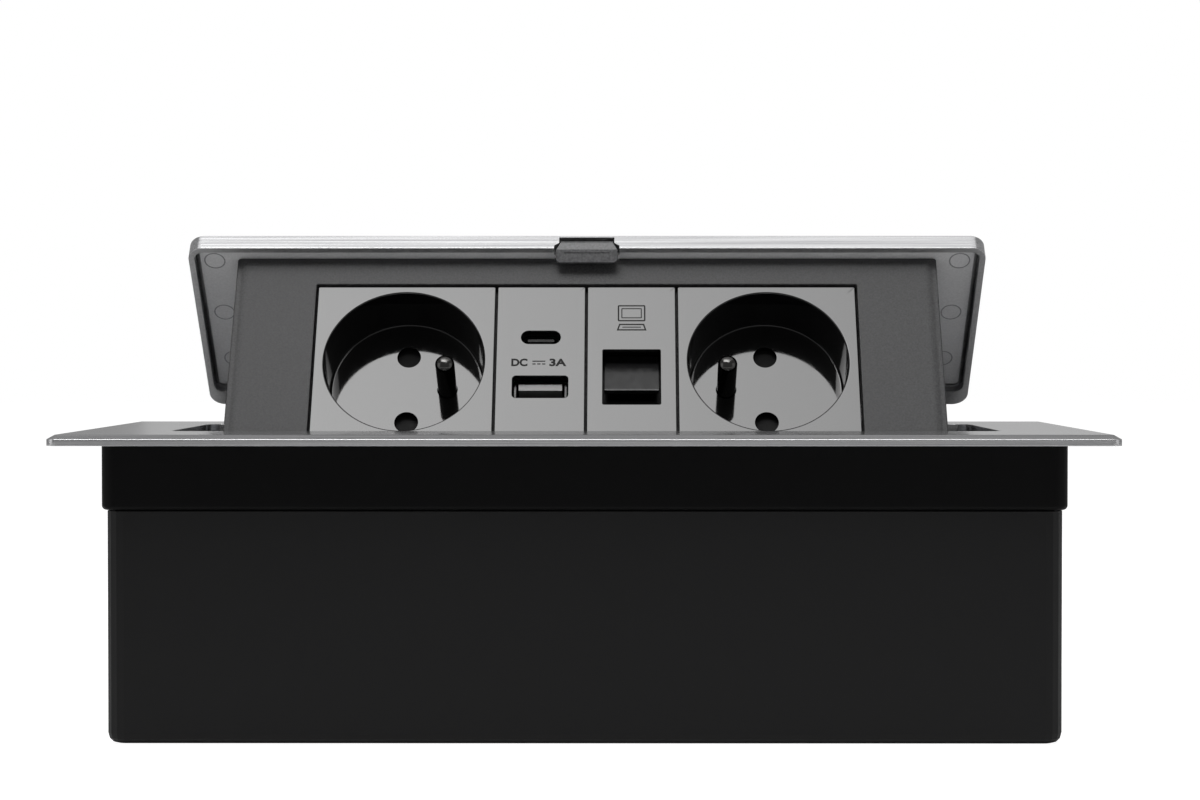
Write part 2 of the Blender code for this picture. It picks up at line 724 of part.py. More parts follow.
def hinge_pin(name, side):
    """A headed pin from outside the bracket into the cheek's boss."""
    inner = CHEEK_X - CHEEK_THICKNESS / 2 - PIN_INNER_LENGTH
    outer = BRACKET_X + BRACKET_THICKNESS / 2 + SEAT_GAP
    profile = (
        (PIN_RADIUS, inner),
        (PIN_RADIUS, outer),
        (PIN_HEAD_RADIUS, outer),
        (PIN_HEAD_RADIUS, outer + PIN_HEAD),
    )
    pin = turned(name, zinc_steel(), profile)
    pin.data.transform(Matrix.Scale(side, 4, (0, 0, 1)))
    if side < 0:
        pin.data.flip_normals()
    pin.data.transform(Matrix.Translation((0, PIVOT_Y, PIVOT_Z)) @ sideways_turn())
    return pin


def tilt_frames():
    """The empties that hold the tilting unit: its axis, the shut lid's frame, and the panel's frame."""
    axis = bpy.data.objects.new("tilt_axis", None)
    shut = bpy.data.objects.new("shut_frame", None)
    panel = bpy.data.objects.new("panel_frame", None)
    for empty in (axis, shut, panel):
        bpy.context.scene.collection.objects.link(empty)
    axis.location = (0, PIVOT_Y, PIVOT_Z)
    axis.rotation_euler = (-OPEN_ANGLE, 0, 0)
    carry(shut, axis, (0, -PIVOT_Y, -PIVOT_Z))
    open_y = -OPENING_WIDTH / 2 + PANEL_SETBACK - PIVOT_Y
    open_z = UNIT_HEIGHT - PIVOT_Z
    shut_y, shut_z = shut_point(open_y, open_z)
    carry(panel, axis, (0, shut_y, shut_z), (panel_turn(), 0, 0))
    return shut, panel


def shut_point(y, z):
    """Where a point of the open unit, measured from the pivot, comes to lie when the unit shuts."""
    cosine, sine = math.cos(OPEN_ANGLE), math.sin(OPEN_ANGLE)
    return y * cosine - z * sine, y * sine + z * cosine


def panel_turn():
    """The turn about X that tips the panel from flat to its slope in the shut unit."""
    return math.radians(90) - PANEL_LEAN + OPEN_ANGLE


def panel_origin():
    y, z = shut_point(-OPENING_WIDTH / 2 + PANEL_SETBACK - PIVOT_Y, UNIT_HEIGHT - PIVOT_Z)
    return y + PIVOT_Y, z + PIVOT_Z


def panel_point(height, depth):
    """The Y and Z, in the shut unit, of a point this far up the panel and this far behind its face."""
    y, z = panel_origin()
    cosine, sine = math.cos(panel_turn()), math.sin(panel_turn())
    return y + height * cosine + depth * sine, z + height * sine - depth * cosine


def bezel_top(depth):
    """How far up the bezel reaches before it meets the lid, at this depth behind its face."""
    room = LID_UNDERSIDE - SEAT_GAP - panel_point(0, depth)[1]
    return room / math.sin(panel_turn())


def lid_plate(shut):
    """The lid: a shallow tray of the plate's metal, its rear edge undercut to clear the opening."""
    sides = (-LID_X, LID_X, LID_FRONT)
    edge = SEAT_GAP
    top_edge = rounded_box(sides[0] + edge, sides[1] - edge, sides[2] + edge, LID_REAR - edge, LID_CORNER)
    top = rounded_box(*sides, LID_REAR - LID_REAR_RELIEF * edge / LID_DEPTH, LID_CORNER)
    foot = rounded_box(*sides, LID_REAR - LID_REAR_RELIEF, LID_CORNER)
    hollow = rounded_box(
        sides[0] + LID_RIM,
        sides[1] - LID_RIM,
        sides[2] + LID_RIM,
        LID_REAR - LID_REAR_RELIEF - LID_REAR_RIM,
        LID_CORNER - LID_RIM,
    )
    sections = [
        (top_edge, UNIT_HEIGHT),
        (top, UNIT_HEIGHT - edge),
        (foot, LID_UNDERSIDE),
        (hollow, LID_UNDERSIDE),
        (hollow, UNIT_HEIGHT - LID_SKIN),
    ]
    lid = carry(loft("lid_plate", brushed_aluminium(), sections), shut)
    notch = LATCH_NOTCH / 2
    wide = LATCH_WIDTH / 2 + LATCH_SIDE_GAP
    high = LATCH_SHOULDER + LATCH_SIDE_GAP
    outline = [
        (-wide, LID_UNDERSIDE - CUT_MARGIN),
        (wide, LID_UNDERSIDE - CUT_MARGIN),
        (wide, UNIT_HEIGHT - high - LATCH_SIDE_GAP),
        (notch, UNIT_HEIGHT - LATCH_SHOULDER),
        (notch, UNIT_HEIGHT - LATCH_NOTCH_TOP),
        (-notch, UNIT_HEIGHT - LATCH_NOTCH_TOP),
        (-notch, UNIT_HEIGHT - LATCH_SHOULDER),
        (-wide, UNIT_HEIGHT - high - LATCH_SIDE_GAP),
    ]
    tool = cutter("latch_notch", outline, -LID_FRONT - LID_RIM - CUT_MARGIN, -LID_FRONT + CUT_MARGIN)
    tool.data.transform(Matrix.Rotation(math.radians(90), 4, "X"))
    cut(lid, tool)
    return lid


def lid_liner(shut):
    """The moulded liner in the lid, with a pocket for the latch and a slot down each side."""
    outer = rounded_box(-LINER_X, LINER_X, LINER_FRONT, LINER_REAR, LINER_WALL)
    wall = LINER_WALL
    inner = rounded_box(-LINER_X + wall, LINER_X - wall, LINER_FRONT + wall, LINER_REAR - wall, SEAT_GAP)
    sections = [
        (outer, LINER_UNDERSIDE),
        (outer, LINER_TOP),
        (inner, LINER_TOP),
        (inner, LINER_UNDERSIDE + LINER_THICKNESS),
    ]
    liner = carry(loft("lid_liner", grey_plastic(), sections), shut)
    half = LATCH_WIDTH / 2 + LATCH_SIDE_GAP
    rear = LATCH_BACK_Y + LATCH_TRAVEL + SEAT_GAP
    hole = square_box(-half, half, LINER_FRONT - CUT_MARGIN, rear)
    cut(liner, cutter("latch_hole", hole, LINER_UNDERSIDE - CUT_MARGIN, LINER_TOP + CUT_MARGIN))
    return liner


def latch_guide(shut):
    """The guide behind the latch: a small moulded channel on the liner's upper side."""
    rear = LATCH_POCKET_REAR
    front = LATCH_BACK_Y + LATCH_TRAVEL + 2 * SEAT_GAP
    half = LATCH_STEM_WIDTH / 2 + SEAT_GAP
    wall = LINER_WALL
    low = LINER_UNDERSIDE + LINER_THICKNESS + SEAT_GAP
    outline = [
        (-half - wall, front),
        (-half, front),
        (-half, rear),
        (half, rear),
        (half, front),
        (half + wall, front),
        (half + wall, rear + wall),
        (-half - wall, rear + wall),
    ]
    return carry(prism("latch_guide", inner_plastic(), outline, low, LINER_TOP), shut)


def latch_tab(shut):
    """The sliding latch: a thumb piece with a bevelled shoulder and a sloped nose, on a flat stem."""
    top = UNIT_HEIGHT - LID_SKIN - SEAT_GAP
    shoulder = UNIT_HEIGHT - LATCH_SHOULDER
    nose = UNIT_HEIGHT - LATCH_DROP
    front = LATCH_FACE_Y
    narrow = LATCH_NOTCH / 2 - SEAT_GAP
    wide = LATCH_WIDTH / 2
    bevel_end = LID_UNDERSIDE - SEAT_GAP
    profile = (
        (narrow, front + LATCH_RECESS, top),
        (narrow, front + LATCH_RECESS, shoulder),
        (narrow, front + SEAT_GAP / 2, shoulder - SEAT_GAP),
        (wide, front + SEAT_GAP, bevel_end),
        (wide, front + LATCH_SLOPE, nose),
    )
    bm = bmesh.new()
    rows = []
    for half, y, z in profile:
        corners = ((-half, y), (half, y), (half, LATCH_BACK_Y), (-half, LATCH_BACK_Y))
        rows.append([bm.verts.new((x, depth, z)) for x, depth in corners])
    bm.faces.new(rows[0])
    bm.faces.new(list(reversed(rows[-1])))
    for above, below in zip(rows, rows[1:]):
        for here in range(4):
            after = (here + 1) % 4
            bm.faces.new((above[here], above[after], below[after], below[here]))
    bmesh.ops.recalc_face_normals(bm, faces=bm.faces)
    mesh = bpy.data.meshes.new("latch_tab")
    bm.to_mesh(mesh)
    bm.free()
    tab = carry(link("latch_tab", mesh, inner_plastic()), shut)
    half = LATCH_STEM_WIDTH / 2
    rear = LATCH_BACK_Y + LATCH_STEM_LENGTH
    low = LINER_UNDERSIDE + LINER_THICKNESS + SEAT_GAP
    outline = square_box(-half, half, LATCH_BACK_Y - CUT_MARGIN, rear)
    join(tab, cutter("latch_stem", outline, low, LINER_TOP - SEAT_GAP))
    return tab


def latch_spring(shut):
    """A bowed strip of spring steel that pushes the latch forward."""
    front = LATCH_BACK_Y + LATCH_STEM_LENGTH + SEAT_GAP
    rear = LATCH_POCKET_REAR - SEAT_GAP
    half = LATCH_STEM_WIDTH / 2 - SEAT_GAP
    steps = 10
    inner, outer = [], []
    for step in range(steps + 1):
        x = half * (2 * step / steps - 1)
        bow = (rear - front - LATCH_SPRING_STRIP) * (1 - (x / half) ** 2)
        inner.append((x, rear - LATCH_SPRING_STRIP - bow))
        outer.append((x, rear - bow))
    outline = inner + list(reversed(outer))
    low = LINER_UNDERSIDE + LINER_THICKNESS + SEAT_GAP
    return carry(prism("latch_spring", zinc_steel(), outline, low, LINER_TOP - SEAT_GAP), shut)


def cheek_outline():
    """The side plate in the shut unit: behind the panel, under the lid, and a gooseneck to the pivot."""
    top = LID_UNDERSIDE - SEAT_GAP
    behind_face = BEZEL_FACE + SEAT_GAP
    behind_return = BEZEL_RETURN + SEAT_GAP
    low = BEZEL_BOTTOM + BEZEL_RETURN_WALL + SEAT_GAP
    high = bezel_top(behind_return) - BEZEL_RETURN_WALL - SEAT_GAP
    rear_y, rear_z = panel_point(high, behind_return)
    rise = (top - rear_z) / math.sin(panel_turn())
    half = ARM_WIDTH / 2
    neck_y = PIVOT_Y - NECK_FORWARD + half
    points = [
        panel_point(high, behind_face),
        panel_point(low, behind_face),
        panel_point(low, behind_return),
        (PIVOT_Y - HEEL_FORWARD, PIVOT_Z - HEEL_DROP),
        (PIVOT_Y - KNEE_FORWARD, PIVOT_Z - KNEE_DROP),
    ]
    start = math.radians(-35)
    for step in range(13):
        angle = start + math.radians(15 * step)
        points.append((PIVOT_Y + BOSS_RADIUS * math.cos(angle), PIVOT_Z + BOSS_RADIUS * math.sin(angle)))
    points += [
        (PIVOT_Y - ELBOW_FORWARD, PIVOT_Z - ELBOW_DROP),
        (neck_y - NECK_SHOULDER_RUN, PIVOT_Z - NECK_SHOULDER_DROP),
        (neck_y, PIVOT_Z + NECK_RISE),
        (neck_y, top),
        (rear_y + rise * math.cos(panel_turn()), top),
        (rear_y, rear_z),
    ]
    return points


def tilt_cheek(name, side, shut):
    """A steel side plate with its gooseneck arm and a boss round the pin."""
    half = CHEEK_THICKNESS / 2
    cheek = carry(prism(name, zinc_steel(), cheek_outline(), -half, half), shut)
    cheek.data.transform(Matrix.Translation((side * CHEEK_X, 0, 0)) @ sideways_turn())
    round_pin = circle(BOSS_RADIUS - PIN_CLEARANCE, (PIVOT_Y, PIVOT_Z), 20)
    boss = cutter(name + "_boss", round_pin, -half, 2 * half)
    boss.data.transform(
        Matrix.Translation((side * CHEEK_X, 0, 0)) @ sideways_turn() @ Matrix.Scale(side, 4, (0, 0, 1))
    )
    if side < 0:
        boss.data.flip_normals()
    join(cheek, boss)
    reach = 3 * CHEEK_THICKNESS
    tool = cutter(name + "_hole", circle(PIN_RADIUS + PIN_CLEARANCE, (PIVOT_Y, PIVOT_Z)), -reach, reach)
    tool.data.transform(Matrix.Translation((side * CHEEK_X, 0, 0)) @ sideways_turn())
    cut(cheek, tool)
    return cheek


def torsion_spring():
    """The spring wound round the left pin's inner end, which lifts the unit when the latch lets go."""
    radius = PIN_RADIUS + SEAT_GAP + TORSION_WIRE
    inner = CHEEK_X - CHEEK_THICKNESS / 2 - PIN_INNER_LENGTH + TORSION_WIRE
    length = PIN_INNER_LENGTH - 3 * TORSION_WIRE - SEAT_GAP
    spring = coil("torsion_spring", zinc_steel(), radius, TORSION_WIRE, TORSION_TURNS, length)
    spring.data.transform(Matrix.Translation((-inner - length, PIVOT_Y, PIVOT_Z)) @ sideways_turn())
    return spring


def bezel(panel):
    """The moulded front of the unit, with a window for the modules and edges that turn back."""
    wall = BEZEL_RETURN_WALL

    def outline(inset, depth):
        half = BEZEL_X - inset
        radius = max(BEZEL_CORNER - inset, LEAST_CORNER)
        return rounded_box(-half, half, BEZEL_BOTTOM + inset, bezel_top(depth) - inset, radius)

    window = window_outline(0)
    sections = [
        (outline(0, BEZEL_RETURN), -BEZEL_RETURN),
        (outline(0, BEZEL_EDGE), -BEZEL_EDGE),
        (outline(BEZEL_EDGE, 0), 0),
        (window, 0),
        (window, -BEZEL_FACE),
        (outline(wall, BEZEL_FACE), -BEZEL_FACE),
        (outline(wall, BEZEL_RETURN), -BEZEL_RETURN),
    ]
    return carry(loft("bezel", dark_textured_plastic(), sections, ring=True), panel)


def window_outline(grow):
    half = 3 * MODULE_PITCH + MODULE_SEAM / 2 + grow
    return rounded_box(-half, half, WINDOW_BOTTOM - grow, WINDOW_TOP + grow, MODULE_CORNER)


def module_frame(panel):
    """The inner frame that the modules snap into, behind the bezel, with a bar at each seam."""
    half = CHEEK_X - CHEEK_THICKNESS / 2 - SEAT_GAP
    front = -BEZEL_FACE - SEAT_GAP
    back = front - FRAME_THICKNESS
    low = BEZEL_BOTTOM + BEZEL_RETURN_WALL + SEAT_GAP
    high = bezel_top(-back) - BEZEL_RETURN_WALL - SEAT_GAP
    outer = rounded_box(-half, half, low, high, MODULE_CORNER)
    window = window_outline(-SEAT_GAP / 2)
    sections = [(outer, back), (outer, front), (window, front), (window, back)]
    frame = carry(loft("module_frame", inner_plastic(), sections, ring=True), panel)
    half = MULLION_WIDTH / 2
    bar = square_box(-half, half, WINDOW_BOTTOM - CUT_MARGIN, WINDOW_TOP + CUT_MARGIN)
    bars = [shift(bar, x, 0) for x in (-MODULE_PITCH, 0, MODULE_PITCH)]
    join(frame, lofts("join_mullions", inner_plastic(), [[(line, back), (line, front)] for line in bars]))
    return frame


def face_outline(width):
    return rounded_box(-width / 2, width / 2, MODULE_BOTTOM, MODULE_TOP, MODULE_CORNER)


def socket_face(name, side, panel):
    """A glossy front with its round well, the two contact holes and the hole for the earth pin."""
    centre = (0, SOCKET_HEIGHT)
    place = (side * SOCKET_X, 0, 0)
    face = carry(prism(name, glossy_black(), face_outline(SOCKET_WIDTH), -MODULE_FACE, 0), panel, place)
    cup = turned(
        "join_" + name,
        glossy_black(),
        (
            (SOCKET_FLOOR_RADIUS + SOCKET_WALL, -CUP_BACK),
            (SOCKET_RADIUS + SOCKET_WALL, -MODULE_FACE / 2),
        ),
        centre,
        48,
    )
    join(face, cup)
    well = turned(
        "cut_" + name,
        glossy_black(),
        (
            (SOCKET_FLOOR_RADIUS - SOCKET_EDGE, -SOCKET_DEPTH),
            (SOCKET_FLOOR_RADIUS, -SOCKET_DEPTH + SOCKET_EDGE),
            (SOCKET_RADIUS, -SOCKET_EDGE),
            (SOCKET_RADIUS + SOCKET_EDGE, 0),
            (SOCKET_RADIUS + SOCKET_EDGE, CUT_MARGIN),
        ),
        centre,
        48,
    )
    cut(face, well)
    outlines = [circle(SOCKET_HOLE_RADIUS, spot, 16) for spot in contact_places()]
    pin_place = (-side * EARTH_PIN_OFFSET, SOCKET_HEIGHT)
    outlines.append(circle(EARTH_PIN_RADIUS + SEAT_GAP, pin_place, 16))
    cut(face, holes(name + "_holes", outlines, -CUP_BACK - CUT_MARGIN, -SOCKET_DEPTH + CUT_MARGIN))
    return face


def contact_places():
    return ((0, SOCKET_HEIGHT - SOCKET_HOLE_SPACING / 2), (0, SOCKET_HEIGHT + SOCKET_HOLE_SPACING / 2))


def earth_pin(name, side, panel):
    """The earth pin: a domed rod with a collar on the floor of the well and a shank into the body."""
    reach = EARTH_PIN_RADIUS
    tip = EARTH_PIN_LENGTH - SOCKET_DEPTH
    back = -BODY_FRONT - EARTH_PIN_SHANK
    profile = (
        (reach, back),
        (reach, tip - 0.7 * reach),
        (0.9 * reach, tip - 0.38 * reach),
        (0.6 * reach, tip - 0.1 * reach),
        (0.15 * reach, tip),
    )
    place = (side * (SOCKET_X - EARTH_PIN_OFFSET), SOCKET_HEIGHT, 0)
    return carry(turned(name, nickel(), profile, steps=20), panel, place)


def socket_body(name, side, panel):
    """The insulating body behind a well: pockets for the contact clips, a channel for the shutter."""
    half = SOCKET_BODY_WIDTH / 2
    low, high = SOCKET_HEIGHT - half, SOCKET_HEIGHT + half
    outline = rounded_box(-half, half, low, high, SOCKET_BODY_CORNER)
    body = prism(name, inner_plastic(), outline, -MODULE_REACH, -BODY_FRONT)
    carry(body, panel, (side * SOCKET_X, 0, 0))
    inward = SHUTTER_WIDTH / 2 + SEAT_GAP
    outward = inward + SHUTTER_TRAVEL
    tall = SOCKET_HOLE_SPACING / 2 + SOCKET_HOLE_RADIUS + SHUTTER_LAP
    channel = square_box(
        min(-side * inward, side * outward),
        max(-side * inward, side * outward),
        SOCKET_HEIGHT - tall - SEAT_GAP,
        SOCKET_HEIGHT + tall + SEAT_GAP,
    )
    cut(body, cutter(name + "_channel", channel, -BODY_FRONT - SHUTTER_POCKET, -BODY_FRONT + CUT_MARGIN))
    reach = CLIP_GAP / 2 + CLIP_THICKNESS + SEAT_GAP
    clips = [
        rounded_box(-reach, reach, y - CLIP_WIDTH / 2 - SEAT_GAP, y + CLIP_WIDTH / 2 + SEAT_GAP, SEAT_GAP)
        for _, y in contact_places()
    ]
    depth = BODY_FRONT + SHUTTER_POCKET + CLIP_DEPTH + 2 * SEAT_GAP
    cut(body, holes(name + "_pockets", clips, -depth, -BODY_FRONT + CUT_MARGIN))
    pin = circle(EARTH_PIN_RADIUS + SEAT_GAP, (-side * EARTH_PIN_OFFSET, SOCKET_HEIGHT), 16)
    pin_depth = BODY_FRONT + EARTH_PIN_SHANK + SEAT_GAP
    cut(body, cutter(name + "_pin_hole", pin, -pin_depth, -BODY_FRONT + CUT_MARGIN))
    return body


def socket_shutter(name, side, panel):
    """The safety shutter: a bar across both contact holes that slides aside."""
    half = SHUTTER_WIDTH / 2
    tall = SOCKET_HOLE_SPACING / 2 + SOCKET_HOLE_RADIUS + SHUTTER_LAP
    outline = rounded_box(-half, half, SOCKET_HEIGHT - tall, SOCKET_HEIGHT + tall, SHUTTER_CORNER)
    front = -BODY_FRONT - SEAT_GAP / 2
    return carry(
        prism(name, inner_plastic(), outline, front - SHUTTER_THICKNESS, front),
        panel,
        (side * SOCKET_X, 0, 0),
    )


def contact_clip(name, side, height, panel):
    """A sprung brass clip: a folded strip that grips one of a plug's pins."""
    front = -BODY_FRONT - SHUTTER_POCKET - SEAT_GAP
    back = front - CLIP_DEPTH
    inner, outer = CLIP_GAP / 2, CLIP_GAP / 2 + CLIP_THICKNESS
    outline = [
        (-outer, back),
        (outer, back),
        (outer, front),
        (inner, front),
        (inner, back + CLIP_THICKNESS),
        (-inner, back + CLIP_THICKNESS),
        (-inner, front),
        (-outer, front),
    ]
    clip = prism(name, contact_brass(), outline, -CLIP_WIDTH / 2, CLIP_WIDTH / 2)
    clip.data.transform(Matrix.Rotation(math.radians(90), 4, "X"))
    return carry(clip, panel, (side * SOCKET_X, height, 0))


def narrow_face(name, x, panel):
    face = prism(name, glossy_black(), face_outline(NARROW_WIDTH), -MODULE_FACE, 0)
    return carry(face, panel, (x, 0, 0))


def usb_c_outline(inset):
    return slot(USB_C_LENGTH - 2 * inset, USB_C_WIDTH - 2 * inset, (0, USB_C_HEIGHT))


def usb_a_outline(inset):
    radius = max(USB_A_CORNER - inset, LEAST_CORNER)
    return shift(centred_box(USB_A_LENGTH - 2 * inset, USB_A_WIDTH - 2 * inset, radius, 3), 0, USB_A_HEIGHT)


def usb_face(panel):
    """The charger's front, with a flared mouth for each port."""
    face = narrow_face("usb_face", USB_X, panel)
    ports = (("usb_c_mouth", usb_c_outline, USB_C_FLARE), ("usb_a_mouth", usb_a_outline, USB_A_FLARE))
    for name, outline, flare in ports:
        sections = [
            (outline(flare), -MODULE_FACE - CUT_MARGIN),
            (outline(flare), -flare),
            (outline(0), 0),
            (outline(0), CUT_MARGIN),
        ]
        cut(face, lofts("cut_" + name, inner_plastic(), [sections]))
    return face


def port_shell(name, outline, flare, depth, panel):
    """A port's folded metal shell behind the front, closed at its back."""
    front = -MODULE_FACE - SEAT_GAP
    outer, inner = outline(flare - USB_SHELL_WALL), outline(flare)
    sections = [(outer, -depth), (outer, front), (inner, front), (inner, -depth + USB_SHELL_WALL)]
    return carry(loft(name, nickel(), sections), panel, (USB_X, 0, 0))


def usb_a_tongue(panel):
    """The larger port's tongue."""
    half = USB_A_LENGTH / 2 - USB_A_TONGUE_INSET
    low = USB_A_HEIGHT + USB_A_TONGUE_OFFSET
    outline = square_box(-half, half, low, low + USB_A_TONGUE_THICKNESS)
    back = -USB_A_DEPTH + USB_SHELL_WALL + SEAT_GAP
    tongue = prism("usb_a_tongue", white_plastic(), outline, back, -USB_A_TONGUE_SETBACK)
    return carry(tongue, panel, (USB_X, 0, 0))


def usb_c_tongue(panel):
    """The smaller port's thin central tongue."""
    outline = slot(USB_C_TONGUE_LENGTH, USB_C_TONGUE_THICKNESS, (0, USB_C_HEIGHT), 2)
    back = -USB_C_DEPTH + USB_SHELL_WALL + SEAT_GAP
    tongue = prism("usb_c_tongue", inner_plastic(), outline, back, -USB_C_TONGUE_SETBACK)
    return carry(tongue, panel, (USB_X, 0, 0))


def usb_board(panel):
    """The charger's circuit board, upright behind the ports."""
    half = NARROW_WIDTH / 2 - USB_BOARD_INSET
    front = -USB_A_DEPTH - SEAT_GAP
    outline = square_box(-half, half, MODULE_BOTTOM + USB_BOARD_END_GAP, MODULE_TOP - USB_BOARD_END_GAP)
    board = prism("usb_board", circuit_board(), outline, front - USB_BOARD_THICKNESS, front)
    return carry(board, panel, (USB_X, 0, 0))


def narrow_housing(name, x, panel, reach):
    """A rear cover: an open tray that closes on the back of a narrow module's face."""
    half = NARROW_WIDTH / 2 - HOUSING_INSET
    wall = HOUSING_WALL
    low, high = MODULE_BOTTOM + HOUSING_END_GAP, MODULE_TOP - HOUSING_END_GAP
    outer = rounded_box(-half, half, low, high, HOUSING_CORNER)
    inner = rounded_box(-half + wall, half - wall, low + wall, high - wall, SEAT_GAP)
    front = -MODULE_FACE - SEAT_GAP
    sections = [(outer, -reach), (outer, front), (inner, front), (inner, -reach + wall)]
    return carry(loft(name, inner_plastic(), sections), panel, (x, 0, 0))


def data_face(panel):
    """The data outlet's front, with its window."""
    face = narrow_face("data_face", DATA_X, panel)
    half = DATA_WINDOW_WIDTH / 2
    window = rounded_box(-half, half, DATA_WINDOW_BOTTOM, DATA_WINDOW_TOP, DATA_WINDOW_CORNER, 2)
    cut(face, cutter("data_window", window, -MODULE_FACE - CUT_MARGIN, CUT_MARGIN))
    return face


def data_shutter(panel):
    """The dust shutter: a plate with a finger lip that slides up and inward, along its own slope."""
    half = DATA_WINDOW_WIDTH / 2 - DATA_LIP_INSET
    outline = square_box(-half, half, 0, DATA_SHUTTER_RISE)
    plate = prism("data_shutter", inner_plastic(), outline, -DATA_SHUTTER_THICKNESS, 0)
    edge = square_box(-half, half, 0, DATA_LIP_THICKNESS)
    lip = prism("join_lip", inner_plastic(), edge, -DATA_SHUTTER_THICKNESS / 2, DATA_LIP_REACH)
    carry(plate, panel, (DATA_X, DATA_SHUTTER_EDGE, -DATA_SHUTTER_SETBACK), (-DATA_SHUTTER_LEAN, 0, 0))
    join(plate, lip)
    return plate


def data_jack(panel):
    """The keystone jack: a block with a stepped mouth for the plug and its clip."""
    half = JACK_WIDTH / 2
    low, high = JACK_MIDDLE - JACK_HEIGHT / 2, JACK_MIDDLE + JACK_HEIGHT / 2
    outline = square_box(-half, half, low, high)
    block = prism("data_jack", inner_plastic(), outline, -JACK_FRONT - JACK_DEPTH, -JACK_FRONT)
    carry(block, panel, (DATA_X, 0, 0))
    mouth_half = JACK_MOUTH_WIDTH / 2
    mouth_low = JACK_MIDDLE - JACK_MOUTH_HEIGHT / 2
    mouth_high = mouth_low + JACK_MOUTH_HEIGHT
    clip = JACK_CLIP_WIDTH / 2
    outline = [
        (-mouth_half, mouth_low),
        (mouth_half, mouth_low),
        (mouth_half, mouth_high),
        (clip, mouth_high),
        (clip, mouth_high + JACK_CLIP_HEIGHT),
        (-clip, mouth_high + JACK_CLIP_HEIGHT),
        (-clip, mouth_high),
        (-mouth_half, mouth_high),
    ]
    depth = JACK_DEPTH - JACK_BACK_WALL
    cut(block, cutter("jack_mouth", outline, -JACK_FRONT - depth, -JACK_FRONT + CUT_MARGIN))
    return block


def jack_contacts(panel):
    """Eight sloped spring wires in the mouth of the jack, held by one moulded bar."""
    low = JACK_MIDDLE - JACK_MOUTH_HEIGHT / 2 + SEAT_GAP
    thick = JACK_CONTACT_WIDTH
    back = -JACK_FRONT - JACK_DEPTH + JACK_BACK_WALL + SEAT_GAP
    front = -JACK_FRONT - JACK_CONTACT_SETBACK
    reach = JACK_CONTACTS * JACK_CONTACT_PITCH / 2
    outline = square_box(-reach, reach, low, low + JACK_CONTACT_RISE + 2 * thick)
    bar = carry(prism("jack_contacts", contact_brass(), outline, back, back + thick), panel, (DATA_X, 0, 0))
    wires = []
    for step in range(JACK_CONTACTS):
        x = JACK_CONTACT_PITCH * (step - (JACK_CONTACTS - 1) / 2)
        near = square_box(x - thick / 2, x + thick / 2, low, low + thick)
        far = shift(near, 0, JACK_CONTACT_RISE)
        wires.append([(far, back + thick / 2), (near, front)])
    join(bar, lofts("join_wires", contact_brass(), wires))
    return bar


def main():
    clear_scene()
    top_plate()
    skirt_frame()
    plate_screws()
    base_box()
    box_screws()
    cables = (("mains_grommet", MAINS_CABLE_RADIUS), ("data_grommet", DATA_CABLE_RADIUS))
    for (_, x, hole), (name, bore) in zip(entries(), cables):
        grommet(name, x, hole, bore)
    shut, panel = tilt_frames()
    lid_plate(shut)
    lid_liner(shut)
    latch_guide(shut)
    latch_tab(shut)
    latch_spring(shut)
    torsion_spring()
    bezel(panel)
    module_frame(panel)
    for word, side in (("left", -1), ("right", 1)):
        hinge_bracket("hinge_bracket_" + word, side)
        hinge_pin("hinge_pin_" + word, side)
        tilt_cheek("tilt_cheek_" + word, side, shut)
        socket_face("socket_face_" + word, side, panel)
        earth_pin("earth_pin_" + word, side, panel)
        socket_body("socket_body_" + word, side, panel)
        socket_shutter("socket_shutter_" + word, side, panel)
        for height, (_, spot) in zip(("lower", "upper"), contact_places()):
            contact_clip(f"{height}_clip_{word}", side, spot, panel)
    usb_face(panel)
    port_shell("usb_a_shell", usb_a_outline, USB_A_FLARE, USB_A_DEPTH, panel)
    usb_a_tongue(panel)
    port_shell("usb_c_shell", usb_c_outline, USB_C_FLARE, USB_C_DEPTH, panel)
    usb_c_tongue(panel)
    usb_board(panel)
    narrow_housing("usb_housing", USB_X, panel, MODULE_REACH)
    data_face(panel)
    data_shutter(panel)
    data_jack(panel)
    jack_contacts(panel)
    narrow_housing("data_housing", DATA_X, panel, DATA_REACH)
    bpy.context.view_layer.update()


main()
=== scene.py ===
import json
import math

import bpy
import numpy as np
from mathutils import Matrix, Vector


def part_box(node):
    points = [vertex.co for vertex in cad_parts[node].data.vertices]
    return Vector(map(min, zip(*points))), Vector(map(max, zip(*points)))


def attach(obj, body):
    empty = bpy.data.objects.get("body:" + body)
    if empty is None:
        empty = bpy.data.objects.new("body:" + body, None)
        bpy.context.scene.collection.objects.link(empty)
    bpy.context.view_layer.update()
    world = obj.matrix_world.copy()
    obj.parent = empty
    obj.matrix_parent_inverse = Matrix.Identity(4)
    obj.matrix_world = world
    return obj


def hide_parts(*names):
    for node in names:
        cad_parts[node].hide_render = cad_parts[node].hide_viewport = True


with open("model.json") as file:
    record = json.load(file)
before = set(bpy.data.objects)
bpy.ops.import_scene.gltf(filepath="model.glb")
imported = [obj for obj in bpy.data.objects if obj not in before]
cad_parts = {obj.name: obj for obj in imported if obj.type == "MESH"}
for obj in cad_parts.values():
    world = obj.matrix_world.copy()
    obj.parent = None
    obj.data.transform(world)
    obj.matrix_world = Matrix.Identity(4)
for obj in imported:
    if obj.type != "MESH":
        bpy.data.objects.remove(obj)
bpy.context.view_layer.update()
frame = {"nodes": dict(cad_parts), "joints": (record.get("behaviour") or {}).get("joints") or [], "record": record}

MM = 0.001

